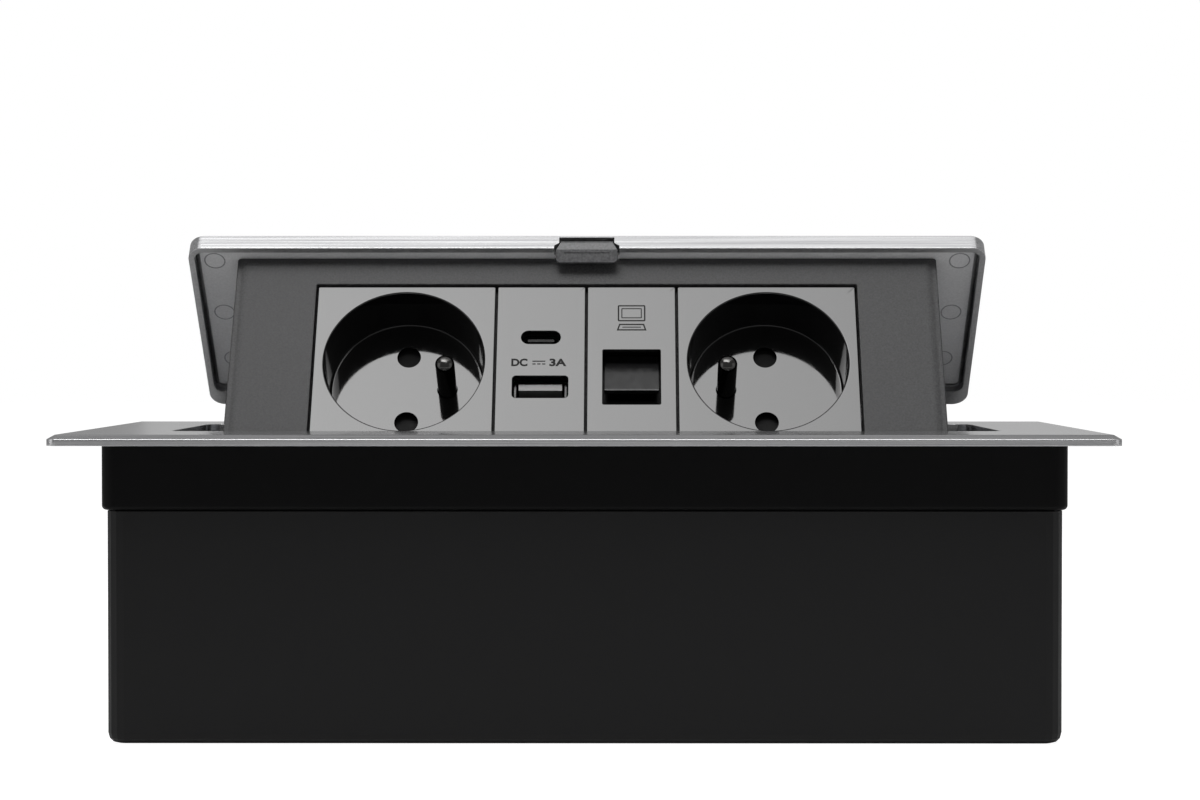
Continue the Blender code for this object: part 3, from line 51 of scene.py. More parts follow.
# Camera: a long lens a little above the plate, square on to the unit and almost level,
# as the product is shown. It looks slightly past the unit, so that the unit stands left of the middle.
camera_data = bpy.data.cameras.new("product_camera")
camera = bpy.data.objects.new("product_camera", camera_data)
bpy.context.scene.collection.objects.link(camera)
camera.location = (9 * MM, -696.5 * MM, 93.6 * MM)
camera.rotation_euler = (math.radians(90 - 1.08), 0, math.radians(0.2))
camera_data.sensor_width = 36
camera_data.lens = 82.5
camera_data.shift_x = -0.0108
camera_data.clip_start = 0.05
bpy.context.scene.camera = camera
bpy.context.scene.view_settings.view_transform = "Standard"

# Top plate: 2.6 mm aluminium with a milled bevel round its rim and a cut opening, brushed along its
# length. The bevel's lower edge is nearly sharp and catches the light as a thin line.
BEVEL_RUN = 1.9 * MM
BEVEL_DROP = 1.05 * MM
RIM_CORNER = 2.5 * MM
RIM_LAP = 0.4 * MM
FACE_LAP = 0.6 * MM
OPENING_X = 101.0 * MM
OPENING_Y = 30.25 * MM
OPENING_CORNER = 4.0 * MM
CORNER_STEPS = 14
SHARP_ANGLE = math.radians(35)
NOISE_LOW, NOISE_HIGH = 0.3, 0.7


def rounded(x0, x1, y0, y1, radius):
    """Rounded rectangles, one row for each set of bounds: each corner is a quarter turn about its centre."""
    turn = np.radians(np.linspace(0, 90, CORNER_STEPS + 1))
    turns = np.concatenate([turn + quarter * np.pi / 2 for quarter in (-1, 0, 1, 2)])
    right = np.repeat([True, True, False, False], CORNER_STEPS + 1)
    far = np.repeat([False, True, True, False], CORNER_STEPS + 1)
    bounds = np.broadcast_arrays(*(np.atleast_1d(value).astype(float) for value in (x0, x1, y0, y1, radius)))
    x0, x1, y0, y1, radius = (value[:, None] for value in bounds)
    radius = np.maximum(radius, 0.02 * MM)
    centre_x = np.where(right, x1 - radius, x0 + radius)
    centre_y = np.where(far, y1 - radius, y0 + radius)
    return np.stack([centre_x + radius * np.cos(turns), centre_y + radius * np.sin(turns)], axis=-1)


def eased(points, reach, steps=5, closed=False):
    """A profile with each corner replaced by a parabola that starts and ends this far from the corner."""
    points = np.array(points, float)
    reach = np.broadcast_to(np.asarray(reach, float), len(points))
    t = np.linspace(0, 1, steps + 1)[:, None]
    made = []
    for here, corner in enumerate(points):
        if (not closed and here in (0, len(points) - 1)) or reach[here] == 0:
            made.append(corner[None])
            continue
        before = points[here - 1] - corner
        after = points[(here + 1) % len(points)] - corner
        start = corner + before / np.linalg.norm(before) * reach[here]
        end = corner + after / np.linalg.norm(after) * reach[here]
        made.append((1 - t) ** 2 * start + 2 * t * (1 - t) * corner + t**2 * end)
    return np.concatenate(made)


def stacked(outlines, heights):
    """Outlines lifted to their heights: a grid of rows of points."""
    lift = np.broadcast_to(np.asarray(heights, float)[:, None, None], (*outlines.shape[:2], 1))
    return np.concatenate([outlines, lift], axis=-1)


def inset_rows(bounds, radius, profile):
    """A profile of (inset, height) carried round a rounded rectangle."""
    x0, x1, y0, y1 = bounds
    inset, height = np.array(profile).T
    return stacked(rounded(x0 + inset, x1 - inset, y0 + inset, y1 - inset, radius - inset), height)


def surface(name, grid, ring=False):
    """A mesh over a grid: closed round each row, and then as a ring of rows or with a fan at each end."""
    rows, columns = grid.shape[:2]
    index = np.arange(rows * columns).reshape(rows, columns)
    lower = index if ring else index[:-1]
    upper = np.roll(index, -1, axis=0) if ring else index[1:]
    quads = [lower, np.roll(lower, -1, axis=1), np.roll(upper, -1, axis=1), upper]
    faces = np.stack(quads, axis=-1).reshape(-1, 4).tolist()
    points = grid.reshape(-1, 3)
    if not ring:
        points = np.concatenate([points, grid[0].mean(axis=0)[None], grid[-1].mean(axis=0)[None]])
        first, last = rows * columns, rows * columns + 1
        around = np.roll(index, -1, axis=1)
        faces += np.stack([around[0], index[0], np.full(columns, first)], axis=-1).tolist()
        faces += np.stack([index[-1], around[-1], np.full(columns, last)], axis=-1).tolist()
    return solid(name, points, faces)


def solid(name, points, faces):
    """A mesh from points and faces, turned so that its faces point outwards, smooth except at sharp edges."""
    mesh = bpy.data.meshes.new(name)
    mesh.from_pydata(np.asarray(points).tolist(), [], faces)
    mesh.calc_loop_triangles()
    corners = np.zeros(len(mesh.loop_triangles) * 3, np.int32)
    mesh.loop_triangles.foreach_get("vertices", corners)
    first, second, third = np.moveaxis(np.asarray(points)[corners.reshape(-1, 3)], 1, 0)
    if (first * np.cross(second, third)).sum() < 0:
        mesh.flip_normals()
    mesh.shade_smooth()
    mesh.set_sharp_from_angle(angle=SHARP_ANGLE)
    piece = bpy.data.objects.new(name, mesh)
    bpy.context.scene.collection.objects.link(piece)
    return piece


def place(piece, turned_points):
    """Moves the piece's points by a function of all of them at once, keeping its faces outwards."""
    points = np.zeros(len(piece.data.vertices) * 3)
    piece.data.vertices.foreach_get("co", points)
    piece.data.vertices.foreach_set("co", turned_points(points.reshape(-1, 3)).ravel())
    piece.data.update()
    return piece


def level(piece):
    """Level shading: each corner's normal leans towards the largest face that meets there."""
    step = piece.modifiers.new("level", "WEIGHTED_NORMAL")
    step.keep_sharp = True
    depsgraph = bpy.context.evaluated_depsgraph_get()
    piece.data = bpy.data.meshes.new_from_object(piece.evaluated_get(depsgraph))
    piece.modifiers.clear()


def fit(piece, material, body, slot, *nodes):
    """Gives a piece its material, the body it rides on and the solids that it stands for; slot is not used."""
    level(piece)
    piece.data.materials.clear()
    piece.data.materials.append(material)
    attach(piece, body)
    if nodes:
        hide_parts(*nodes)
    return piece


def blank(name, colour, roughness, metallic=0.0, specular=0.5):
    """A material with these plain values, and its node tree's nodes, links and shader to build on."""
    material = bpy.data.materials.new(name)
    material.use_nodes = True
    tree = material.node_tree
    shader = tree.nodes["Principled BSDF"]
    shader.inputs["Base Color"].default_value = (*colour, 1)
    shader.inputs["Roughness"].default_value = roughness
    shader.inputs["Metallic"].default_value = metallic
    shader.inputs["Specular IOR Level"].default_value = specular
    return material, tree.nodes, tree.links, shader


def grain(nodes, links, scale, stretch=(1, 1, 1), detail=3.0):
    """Noise in the object's own space, stretched along its axes; returns its output."""
    where = nodes.new("ShaderNodeTexCoord")
    mapping = nodes.new("ShaderNodeMapping")
    mapping.inputs["Scale"].default_value = stretch
    noise = nodes.new("ShaderNodeTexNoise")
    noise.inputs["Scale"].default_value = scale
    noise.inputs["Detail"].default_value = detail
    links.new(where.outputs["Object"], mapping.inputs["Vector"])
    links.new(mapping.outputs["Vector"], noise.inputs["Vector"])
    return noise.outputs["Fac"]


def spread(nodes, links, value, low, high):
    """Maps the middle part of a noise's values to a range, and returns the output."""
    step = nodes.new("ShaderNodeMapRange")
    step.inputs["From Min"].default_value = NOISE_LOW
    step.inputs["From Max"].default_value = NOISE_HIGH
    step.inputs["To Min"].default_value = low
    step.inputs["To Max"].default_value = high
    links.new(value, step.inputs["Value"])
    return step.outputs["Result"]


def tint(nodes, links, value, shader, dark, light):
    """Runs the base colour from dark to light with a value."""
    ramp = nodes.new("ShaderNodeValToRGB")
    ramp.color_ramp.elements[0].color = (*dark, 1)
    ramp.color_ramp.elements[1].color = (*light, 1)
    links.new(value, ramp.inputs["Fac"])
    links.new(ramp.outputs["Color"], shader.inputs["Base Color"])


def bump(nodes, links, value, shader, depth, strength):
    """A bump of this depth in metres from a noise value."""
    step = nodes.new("ShaderNodeBump")
    step.inputs["Strength"].default_value = strength
    step.inputs["Distance"].default_value = depth
    links.new(value, step.inputs["Height"])
    links.new(step.outputs["Normal"], shader.inputs["Normal"])


def brushed(name, across):
    """Aluminium brushed along X: long fine streaks that change its tone, gloss and surface a little."""
    material, nodes, links, shader = blank(name, (0.66, 0.66, 0.67), 0.32, 1.0)
    streaks = grain(nodes, links, 1.0, (14, *across), 5.0)
    tint(nodes, links, spread(nodes, links, streaks, 0, 1), shader, (0.5, 0.5, 0.51), (0.74, 0.74, 0.75))
    links.new(spread(nodes, links, streaks, 0.19, 0.23), shader.inputs["Roughness"])
    bump(nodes, links, streaks, shader, 0.002 * MM, 0.5)
    return material


plate_low, plate_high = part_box("top_plate")
rim = (plate_low[0], plate_high[0], plate_low[1], plate_high[1])
rim_profile = eased(
    [
        (RIM_LAP, plate_low[2]),
        (0, plate_low[2]),
        (0, plate_high[2] - BEVEL_DROP),
        (BEVEL_RUN, plate_high[2]),
        (BEVEL_RUN + FACE_LAP, plate_high[2]),
    ],
    [0, 0.12 * MM, 0.1 * MM, 0.18 * MM, 0],
)
opening_profile = eased(
    [
        (-FACE_LAP, plate_high[2]),
        (0, plate_high[2]),
        (0, plate_low[2]),
        (-FACE_LAP, plate_low[2]),
    ],
    [0, 0.12 * MM, 0.12 * MM, 0],
)
opening = (-OPENING_X, OPENING_X, -OPENING_Y, OPENING_Y)
plate_rows = np.concatenate(
    [inset_rows(rim, RIM_CORNER, rim_profile), inset_rows(opening, OPENING_CORNER, opening_profile)]
)
plate_metal = brushed("brushed_plate_metal", (2600, 2600))
fit(surface("plate", plate_rows, ring=True), plate_metal, "housing", "brushed_aluminium", "top_plate")

# Skirt: the moulded frame under the plate. Its lower edge is rounded over where the box meets it, and it
# is black right through, with the fine satin skin of a spark-eroded mould.
SKIRT_EDGE = 1.1 * MM
SKIRT_WALL = 2.2 * MM
SKIRT_CORNER = 3.6 * MM
LIP = 6.0 * MM
LIP_THICKNESS = 2.0 * MM
TONGUE_DEPTH = 5.0 * MM
TONGUE_OUTER = 3.05 * MM
TONGUE_INNER = 4.65 * MM


def satin_black(name, base, rough, scale, specular):
    """Black satin: nearly flat colour with a very fine skin."""
    material, nodes, links, shader = blank(name, base, rough, 0, specular)
    skin = grain(nodes, links, scale, detail=2.0)
    links.new(spread(nodes, links, skin, rough - 0.05, rough + 0.06), shader.inputs["Roughness"])
    bump(nodes, links, skin, shader, 0.01 * MM, 0.25)
    return material


skirt_black = satin_black("satin_black_skirt", (0.0025, 0.0025, 0.0026), 0.4, 3000, 0.08)
skirt_low, skirt_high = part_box("skirt_frame")
seam = skirt_low[2] + TONGUE_DEPTH
quarter = np.radians(np.linspace(0, 90, 9))
skirt_profile = np.concatenate(
    [
        np.stack([SKIRT_EDGE * (1 - np.sin(quarter)), seam + SKIRT_EDGE * (1 - np.cos(quarter))], axis=-1),
        [
            (0, skirt_high[2]),
            (SKIRT_WALL + LIP, skirt_high[2]),
            (SKIRT_WALL + LIP, skirt_high[2] - LIP_THICKNESS),
            (SKIRT_WALL, skirt_high[2] - LIP_THICKNESS),
            (SKIRT_WALL, seam + TONGUE_INNER - TONGUE_OUTER),
            (TONGUE_INNER, seam + TONGUE_INNER - TONGUE_OUTER),
            (TONGUE_INNER, skirt_low[2]),
            (TONGUE_OUTER, skirt_low[2]),
            (TONGUE_OUTER, seam),
        ],
    ]
)
skirt_bounds = (skirt_low[0], skirt_high[0], skirt_low[1], skirt_high[1])
skirt = surface("skirt", inset_rows(skirt_bounds, SKIRT_CORNER, skirt_profile), ring=True)
fit(skirt, skirt_black, "housing", "black_shell", "skirt_frame")

# Box: a deep black box with rounded corners and foot. The corner posts, the ribs and the holes behind
# stay in its solid, which shows inside it and from below.
shell_black = satin_black("satin_black_shell", (0.0045, 0.0045, 0.0047), 0.42, 3000, 0.22)


def redress(material, *names):
    """Gives solids that keep their shape a finished material."""
    for name in names:
        mesh = frame["nodes"][name].data
        mesh.materials.clear()
        mesh.materials.append(material)


redress(shell_black, "base_box")

# Zinc plated steel: the side plates of the tilting unit, the hinge and the screws keep their solids.
# The plating is a pale blue-grey with soft mottling.
zinc, nodes, links, shader = blank("zinc_plate", (0.5, 0.51, 0.53), 0.38, 1.0)
mottle = grain(nodes, links, 180, detail=4.0)
tint(nodes, links, mottle, shader, (0.4, 0.41, 0.43), (0.62, 0.63, 0.66))
links.new(spread(nodes, links, mottle, 0.3, 0.46), shader.inputs["Roughness"])

sides = ("left", "right")
redress(zinc, *(f"plate_screw_{number}" for number in range(1, 7)))
redress(zinc, *(f"box_screw_{number}" for number in range(1, 5)))
redress(zinc, *(f"{name}_{side}" for name in ("hinge_bracket", "hinge_pin", "tilt_cheek") for side in sides))
redress(zinc, "torsion_spring", "latch_spring")

# Grommets: soft black rubber with a dull, slightly dusty skin.
rubber, nodes, links, shader = blank("grommet_rubber", (0.02, 0.02, 0.02), 0.75)
bloom = grain(nodes, links, 900, detail=4.0)
tint(nodes, links, bloom, shader, (0.014, 0.014, 0.014), (0.032, 0.032, 0.031))
redress(rubber, "mains_grommet", "data_grommet")

# Lid: a shallow tray of the same aluminium, with a deep bright front edge, thin side walls and a wide
# rear rim that is undercut. A notch in the front edge takes the latch, and the faces that point down are given
# a darker, duller metal as painted shade. Its front edge stands a hair behind its solid's.
LID_CORNER = 4.0 * MM
LID_RIM = 1.6 * MM
LID_REAR_RIM = 5.0 * MM
LID_RELIEF = 2.0 * MM
LID_SKIN = 1.2 * MM
LID_LAP = 1.5 * MM
LID_TRIM = 0.2 * MM
LATCH_NOTCH = 6.95 * MM
LATCH_WIDE = 8.2 * MM
NOTCH_TOP = 0.65 * MM
NOTCH_SHOULDER = 2.65 * MM
NOTCH_FLARE = 3.6 * MM
FACING_DOWN = -0.6
tilt = next(joint for joint in frame["joints"] if joint["name"] == "tilt")
pivot = np.array(tilt["pos_m"])
open_angle = math.radians(max(tilt["range_deg"]))


def about_pivot(points, angle):
    """Points turned about the hinge."""
    y, z = points[..., 1] - pivot[1], points[..., 2] - pivot[2]
    cosine, sine = math.cos(angle), math.sin(angle)
    return np.stack(
        [points[..., 0], pivot[1] + y * cosine - z * sine, pivot[2] + y * sine + z * cosine], axis=-1
    )


def opened(points):
    """Points of the shut lid, where the open lid has them."""
    return about_pivot(points, -open_angle)


opened_normal = np.array([0, math.sin(open_angle), math.cos(open_angle)])


def node_points(name):
    """A node's own points as the frame has them, one row for each."""
    mesh = frame["nodes"][name].data
    points = np.zeros(len(mesh.vertices) * 3)
    mesh.vertices.foreach_get("co", points)
    return points.reshape(-1, 3)


def shut_box(name):
    """The lowest and highest corner of a node of the tilting unit when it is shut."""
    points = about_pivot(node_points(name), open_angle)
    return points.min(axis=0), points.max(axis=0)


def carve(piece, *tools, operation="DIFFERENCE"):
    """Cuts tools out of a piece, or joins them to it, and keeps only the result."""
    for tool in tools:
        step = piece.modifiers.new("carve", "BOOLEAN")
        step.operation = operation
        step.solver = "EXACT"
        step.object = tool
    depsgraph = bpy.context.evaluated_depsgraph_get()
    cut = bpy.data.meshes.new_from_object(piece.evaluated_get(depsgraph))
    piece.modifiers.clear()
    piece.data = cut
    for tool in tools:
        bpy.data.objects.remove(tool, do_unlink=True)
    cut.shade_smooth()
    cut.set_sharp_from_angle(angle=SHARP_ANGLE)
    return piece


def slab(name, x0, x1, y0, y1, z0, z1):
    """A plain block between these bounds: the same outline at its lowest and highest level."""
    rows = rounded([x0, x0], [x1, x1], [y0, y0], [y1, y1], [0, 0])
    return surface(name, stacked(rows, [z0, z1]))


lid_low, lid_high = shut_box("lid_plate")
top, under = lid_high[2], lid_low[2]
lid_steps = eased(
    [
        (LID_LAP, top),
        (0, top),
        (0, under),
        (LID_RIM, under),
        (LID_RIM, top - LID_SKIN),
        (LID_RIM + LID_LAP, top - LID_SKIN),
    ],
    [0, 0.25 * MM, 0.12 * MM, 0.12 * MM, 0.3 * MM, 0],
)
inset, height = lid_steps.T
inside = np.clip(inset / LID_RIM, 0, 1) * (height < top - LID_SKIN / 2)
relief = LID_RELIEF * (top - height) / (top - under)
rear = lid_high[1] - relief - np.where(inside > 0, inside * (LID_REAR_RIM - LID_RIM) + inset, inset)
rear = np.where(height > top - LID_SKIN / 2, lid_high[1] - relief - inset, rear)
lid_front = lid_low[1] + LID_TRIM + inset
outline = rounded(lid_low[0] + inset, lid_high[0] - inset, lid_front, rear, LID_CORNER - inset)
lid = surface("lid", stacked(outline, height))
notch_outline = np.array(
    [
        (-LATCH_WIDE, under - MM),
        (LATCH_WIDE, under - MM),
        (LATCH_WIDE, top - NOTCH_FLARE),
        (LATCH_NOTCH, top - NOTCH_SHOULDER),
        (LATCH_NOTCH, top - NOTCH_TOP),
        (-LATCH_NOTCH, top - NOTCH_TOP),
        (-LATCH_NOTCH, top - NOTCH_SHOULDER),
        (-LATCH_WIDE, top - NOTCH_FLARE),
    ]
)
notch_rows = np.stack(
    [np.insert(notch_outline, 1, depth, axis=1) for depth in (lid_low[1] - MM, lid_low[1] + LID_RIM + MM)]
)
carve(lid, surface("notch", notch_rows))
place(lid, opened)
lid_metal = brushed("brushed_lid_metal", (2200, 2200))
fit(lid, lid_metal, "tilt_unit", "brushed_aluminium", "lid_plate")
# Painted shade: the faces that point down when the lid is shut get a darker, duller metal than the rest of the
# lid.
lid_underside_shade, nodes, links, shader = blank("lid_underside_painted_shade", (0.3, 0.3, 0.3), 0.5, 1.0)
underside_grain = grain(nodes, links, 1200, detail=4.0)
tint(nodes, links, spread(nodes, links, underside_grain, 0, 1), shader, (0.27, 0.27, 0.27), (0.36, 0.36, 0.36))
links.new(spread(nodes, links, underside_grain, 0.45, 0.6), shader.inputs["Roughness"])
lid.data.materials.append(lid_underside_shade)
underside = np.zeros(len(lid.data.polygons) * 3)
lid.data.polygons.foreach_get("normal", underside)
below = underside.reshape(-1, 3) @ opened_normal < FACING_DOWN
lid.data.polygons.foreach_set("material_index", below.astype(np.int32))

# Liner: a grey moulding that fills the lid's underside, set back a little inside its rim. It has a pocket for
# the latch, and near its ends the thin round edges that ejector pins leave, in a darker grey as painted shade.
LINER_EASE = 0.25 * MM
LINER_RECESS = 1.8 * MM
LINER_LAP = 6.0 * MM
LINER_CORNER = 1.2 * MM
POCKET_REAR = -25.3 * MM
CHANNEL_FRONT = -26.0 * MM
CHANNEL_ROOM = 0.2 * MM
MARK_RADIUS = 2.55 * MM
MARK_STEPS = 40
MARK_PLACES = ((94.3, -23.3), (93.7, -5.0), (92.9, 12.0))
liner_low, liner_high = shut_box("lid_liner")
liner_face = liner_low[2] + LINER_RECESS


def grey_moulding(name, dark, light, rough, scale, depth, specular=0.5):
    """A satin moulding with a fine even grain."""
    material, nodes, links, shader = blank(name, light, rough, 0, specular)
    skin = grain(nodes, links, scale, detail=3.0)
    tint(nodes, links, spread(nodes, links, skin, 0, 1), shader, dark, light)
    links.new(spread(nodes, links, skin, rough - 0.06, rough + 0.06), shader.inputs["Roughness"])
    bump(nodes, links, skin, shader, depth, 0.6)
    return material


liner_profile = eased(
    [
        (LINER_LAP, liner_face),
        (0, liner_face),
        (0, liner_high[2]),
        (LINER_LAP, liner_high[2]),
    ],
    [0, LINER_EASE, LINER_EASE, 0],
)
liner_bounds = (liner_low[0], liner_high[0], liner_low[1], liner_high[1])
liner = surface("liner", inset_rows(liner_bounds, LINER_CORNER, liner_profile))
guide_low, guide_high = shut_box("latch_guide")
above = liner_high[2] + MM
channel_y = (CHANNEL_FRONT, guide_high[1] + MM)
carve(
    liner,
    slab("pocket", -LATCH_WIDE, LATCH_WIDE, liner_low[1] - MM, POCKET_REAR, liner_low[2] - MM, above),
    slab("channel", guide_low[0], guide_high[0], *channel_y, guide_low[2] - CHANNEL_ROOM, above),
)
place(liner, opened)
liner_grey = grey_moulding("liner_moulding", (0.46, 0.46, 0.465), (0.54, 0.54, 0.545), 0.5, 2000, 0.012 * MM)
fit(liner, liner_grey, "tilt_unit", "grey_plastic", "lid_liner")
# Painted shade: the ejector marks' rings are a darker grey that stands for the shade in their grooves.
ring_painted_shade = grey_moulding("ejector_ring_painted_shade", (0.2, 0.2, 0.205), (0.26, 0.26, 0.265), 0.5, 2000, 0.012 * MM)
turn = np.linspace(0, 2 * np.pi, MARK_STEPS + 1)[:-1]
circle = np.stack([np.cos(turn), np.sin(turn)], axis=-1)
ring_profile = np.array([(0.16, -0.1), (0.16, 0), (0, 0.07), (-0.2, 0.01), (-0.2, -0.1)]) * MM
rings = (MARK_RADIUS + ring_profile[:, 0])[:, None, None] * circle
for number, (x, y) in enumerate([(side * x, y) for side in (-1, 1) for x, y in MARK_PLACES]):
    rows = stacked(rings + np.array([x, y]) * MM, liner_face - ring_profile[:, 1])
    mark = place(surface(f"ejector_mark_{number + 1}", rows, ring=True), opened)
    fit(mark, ring_painted_shade, "tilt_unit", "grey_plastic")

# Latch: a dark sliding thumb piece in the lid's front edge, with a bevelled shoulder, a sloped nose with a
# shallow panel in it, and a stem that runs in a guide behind. Its outline is given as half its width, its
# depth behind the lid's front and its drop below the lid's top.
LATCH_NARROW = 6.65 * MM
LATCH_HALF = 7.7 * MM
LATCH_NOSE = 1.0 * MM
LATCH_DEPTH = 2.6 * MM
LATCH_STEM = 5.5 * MM
STEM_OVERLAP = 0.4 * MM
STEM_ROOM = 0.3 * MM
LATCH_SET_BACK = 0.8 * MM
LATCH_TOP = 1.5 * MM
SHOULDER_DEPTH = 0.15 * MM
SHOULDER = (2.6 * MM, 2.7 * MM)
NOSE_SLOPE = 0.554
NOSE_START = (0.57 * MM, 4.66 * MM)
NOSE_RUN = 1.5 * MM
NOSE_PANEL_HALF = 5.7 * MM
NOSE_PANEL_DEPTH = 0.2 * MM
tab_low, tab_high = shut_box("latch_tab")
tab_path = eased(
    [
        (LATCH_NARROW, LATCH_SET_BACK, LATCH_TOP),
        (LATCH_NARROW, LATCH_SET_BACK, SHOULDER[0]),
        (LATCH_NARROW, SHOULDER_DEPTH, SHOULDER[1]),
        (LATCH_HALF, *NOSE_START),
        (LATCH_HALF, NOSE_START[0] + NOSE_RUN * NOSE_SLOPE, NOSE_START[1] + NOSE_RUN),
    ],
    [0, 0.05 * MM, 0.08 * MM, 0.12 * MM, 0],
)
turn = np.radians(np.linspace(0, 90, 8))
nose_drop = top - tab_low[2] - LATCH_NOSE * (1 - np.sin(turn))
nose_depth = NOSE_START[0] + NOSE_SLOPE * (nose_drop - NOSE_START[1])
nose_path = np.stack([LATCH_HALF - LATCH_NOSE * (1 - np.cos(turn)), nose_depth, nose_drop], axis=-1)
half, depth, drop = np.concatenate([tab_path, nose_path]).T
front_y = lid_low[1]
tab_rows = rounded(-half, half, front_y + depth, np.full(len(half), front_y + LATCH_DEPTH), 0.12 * MM)
tab = surface("latch", stacked(tab_rows, top - drop))
stem_y = (front_y + LATCH_DEPTH - STEM_OVERLAP, tab_high[1])
stem_z = (guide_low[2], guide_high[2] - STEM_ROOM)
carve(tab, slab("stem", -LATCH_STEM, LATCH_STEM, *stem_y, *stem_z), operation="UNION")
panel_drop = np.array([5.35, 7.0]) * MM
panel_depth = front_y + NOSE_START[0] + NOSE_SLOPE * (panel_drop - NOSE_START[1])
panel_y = (panel_depth - MM, panel_depth + NOSE_PANEL_DEPTH)
panel_rows = rounded([-NOSE_PANEL_HALF] * 2, [NOSE_PANEL_HALF] * 2, *panel_y, 0.05 * MM)
carve(tab, surface("nose_panel", stacked(panel_rows, top - panel_drop)))
latch_black = grey_moulding(
    "latch_moulding", (0.03, 0.03, 0.032), (0.085, 0.085, 0.088), 0.4, 1500, 0.02 * MM
)
fit(place(tab, opened), latch_black, "latch", "inner_plastic", "latch_tab")
redress(latch_black, "latch_guide")

# Bezel: the moulded surround of the panel, dark grey with the fine grain of an etched mould. Its face is
# eased at its edges and turns back at all four sides. Its upper edge rolls back close under the liner, with
# a gap behind the latch, and its right edge has a small nick.
BEZEL_EASE = 0.45 * MM
BEZEL_EDGE = 0.4 * MM
BEZEL_REACH = 2.3 * MM
BEZEL_NICK = (87.85 * MM, 36.6 * MM, 37.8 * MM)
BEZEL_NICK_DEPTH = 1.4 * MM
LATCH_GAP_LOW = 1.1 * MM
LATCH_GAP_SIDE = 0.5 * MM
LATCH_GAP_DEPTH = 20.0 * MM
FACE_ROWS = 14
ROLL = 3.2 * MM
ROLL_DROP = 1.5 * MM
BEZEL_CORNER = 1.2 * MM
BEZEL_FACE = 2.2 * MM
BEZEL_WALL = 1.6 * MM
WINDOW_X = 67.775 * MM
WINDOW_LOW = -3.2 * MM
WINDOW_HIGH = 42.5 * MM
SOCKET_HEIGHT = 20.0 * MM
SOCKET_DEPTH = 14.0 * MM
seat = next(mount for mount in frame["record"]["mounts"] if mount["name"] == "left_plug_seat")
out = np.array(seat["axis"])
across = np.array([1.0, 0, 0])
up = np.cross(out, across)
panel_zero = (np.array(seat["pos_m"]) - SOCKET_HEIGHT * up + SOCKET_DEPTH * out) * (0, 1, 1)
panel_axes = np.stack([across, up, out])


def on_panel(points):
    """Points given as across, up the slope and out of the panel's face, where the open unit has them."""
    return panel_zero + points @ panel_axes


def panel_box(name):
    """The lowest and highest corner of a node, across, up and out of the panel."""
    points = (node_points(name) - panel_zero) @ panel_axes.T
    return points.min(axis=0), points.max(axis=0)


bezel_low, bezel_high = panel_box("bezel")
outside = eased(
    [
        (BEZEL_WALL, -BEZEL_FACE),
        (BEZEL_WALL, bezel_low[2]),
        (0, bezel_low[2]),
        (0, 0),
        (MM, 0),
    ],
    [0, 0.2 * MM, 0.2 * MM, BEZEL_EASE, 0],
)
flat = np.linspace(1.3 * MM, 5.2 * MM, FACE_ROWS)
outside = np.concatenate([outside, np.stack([flat, 0 * flat], axis=-1)])
top_slope = 1 / math.tan(math.radians(90) - math.asin(out[2]) + open_angle)
inset, height = outside.T
bezel_rise = bezel_high[1] + BEZEL_REACH - (height + BEZEL_EDGE) * top_slope - inset
around = rounded(
    bezel_low[0] + inset, bezel_high[0] - inset, bezel_low[1] + inset, bezel_rise, BEZEL_CORNER - inset
)
window_edge = eased(
    [(-2 * MM, 0), (0, 0), (0, -BEZEL_FACE), (-2 * MM, -BEZEL_FACE)],
    [0, 0.25 * MM, 0.2 * MM, 0],
)
window = (-WINDOW_X, WINDOW_X, WINDOW_LOW, WINDOW_HIGH)
bezel_rows = np.concatenate([stacked(around, height), inset_rows(window, 0.4 * MM, window_edge)])


def rolled_over(points):
    """The face's upper edge rolls back under the lid along a parabola."""
    rise = np.clip((points[:, 1] - bezel_high[1] - BEZEL_REACH + ROLL) / ROLL, 0, 1)
    share = np.clip(1 + points[:, 2] / BEZEL_FACE, 0, 1)
    rolled = points.copy()
    rolled[:, 2] -= ROLL_DROP * rise**2 * share
    return rolled


bezel = place(surface("bezel_moulding", bezel_rows, ring=True), rolled_over)
gap_x = (-LATCH_HALF - LATCH_GAP_SIDE, LATCH_HALF + LATCH_GAP_SIDE)
gap_y = (bezel_high[1] + LATCH_GAP_LOW, bezel_high[1] + BEZEL_REACH + MM)
carve(
    bezel,
    slab("edge_nick", BEZEL_NICK[0], BEZEL_NICK[0] + MM, *BEZEL_NICK[1:], -BEZEL_NICK_DEPTH, MM),
    slab("latch_gap", *gap_x, *gap_y, -LATCH_GAP_DEPTH, MM),
)
place(bezel, on_panel)
bezel_grey = grey_moulding(
    "bezel_moulding", (0.022, 0.022, 0.023), (0.058, 0.058, 0.059), 0.55, 2200, 0.04 * MM, 0.33
)
fit(bezel, bezel_grey, "tilt_unit", "textured_plastic", "bezel")

# Socket fronts: polished black mouldings, each with a round well 14 mm deep, two contact holes and a hole
# for the earth pin in its floor. The faces mirror the light above them.
SOCKET_RADIUS = 19.82 * MM
SOCKET_FLOOR = 19.2 * MM
SOCKET_WALL = 1.5 * MM
WELL_EASE = 0.45 * MM
FACE_THICKNESS = 2.4 * MM
FACE_EASE = 0.22 * MM
CONTACT_HOLE = 3.0 * MM
CONTACT_OFFSET = 9.5 * MM
PIN_HOLE = 2.6 * MM
WELL_STEPS = 128
HOLE_STEPS = 40
gloss_black, nodes, links, shader = blank("polished_black", (0.002, 0.002, 0.0021), 0.06)
ripple = grain(nodes, links, 55, detail=1.0)
bump(nodes, links, ripple, shader, 0.02 * MM, 0.15)
polish = grain(nodes, links, 400)
links.new(spread(nodes, links, polish, 0.045, 0.085), shader.inputs["Roughness"])


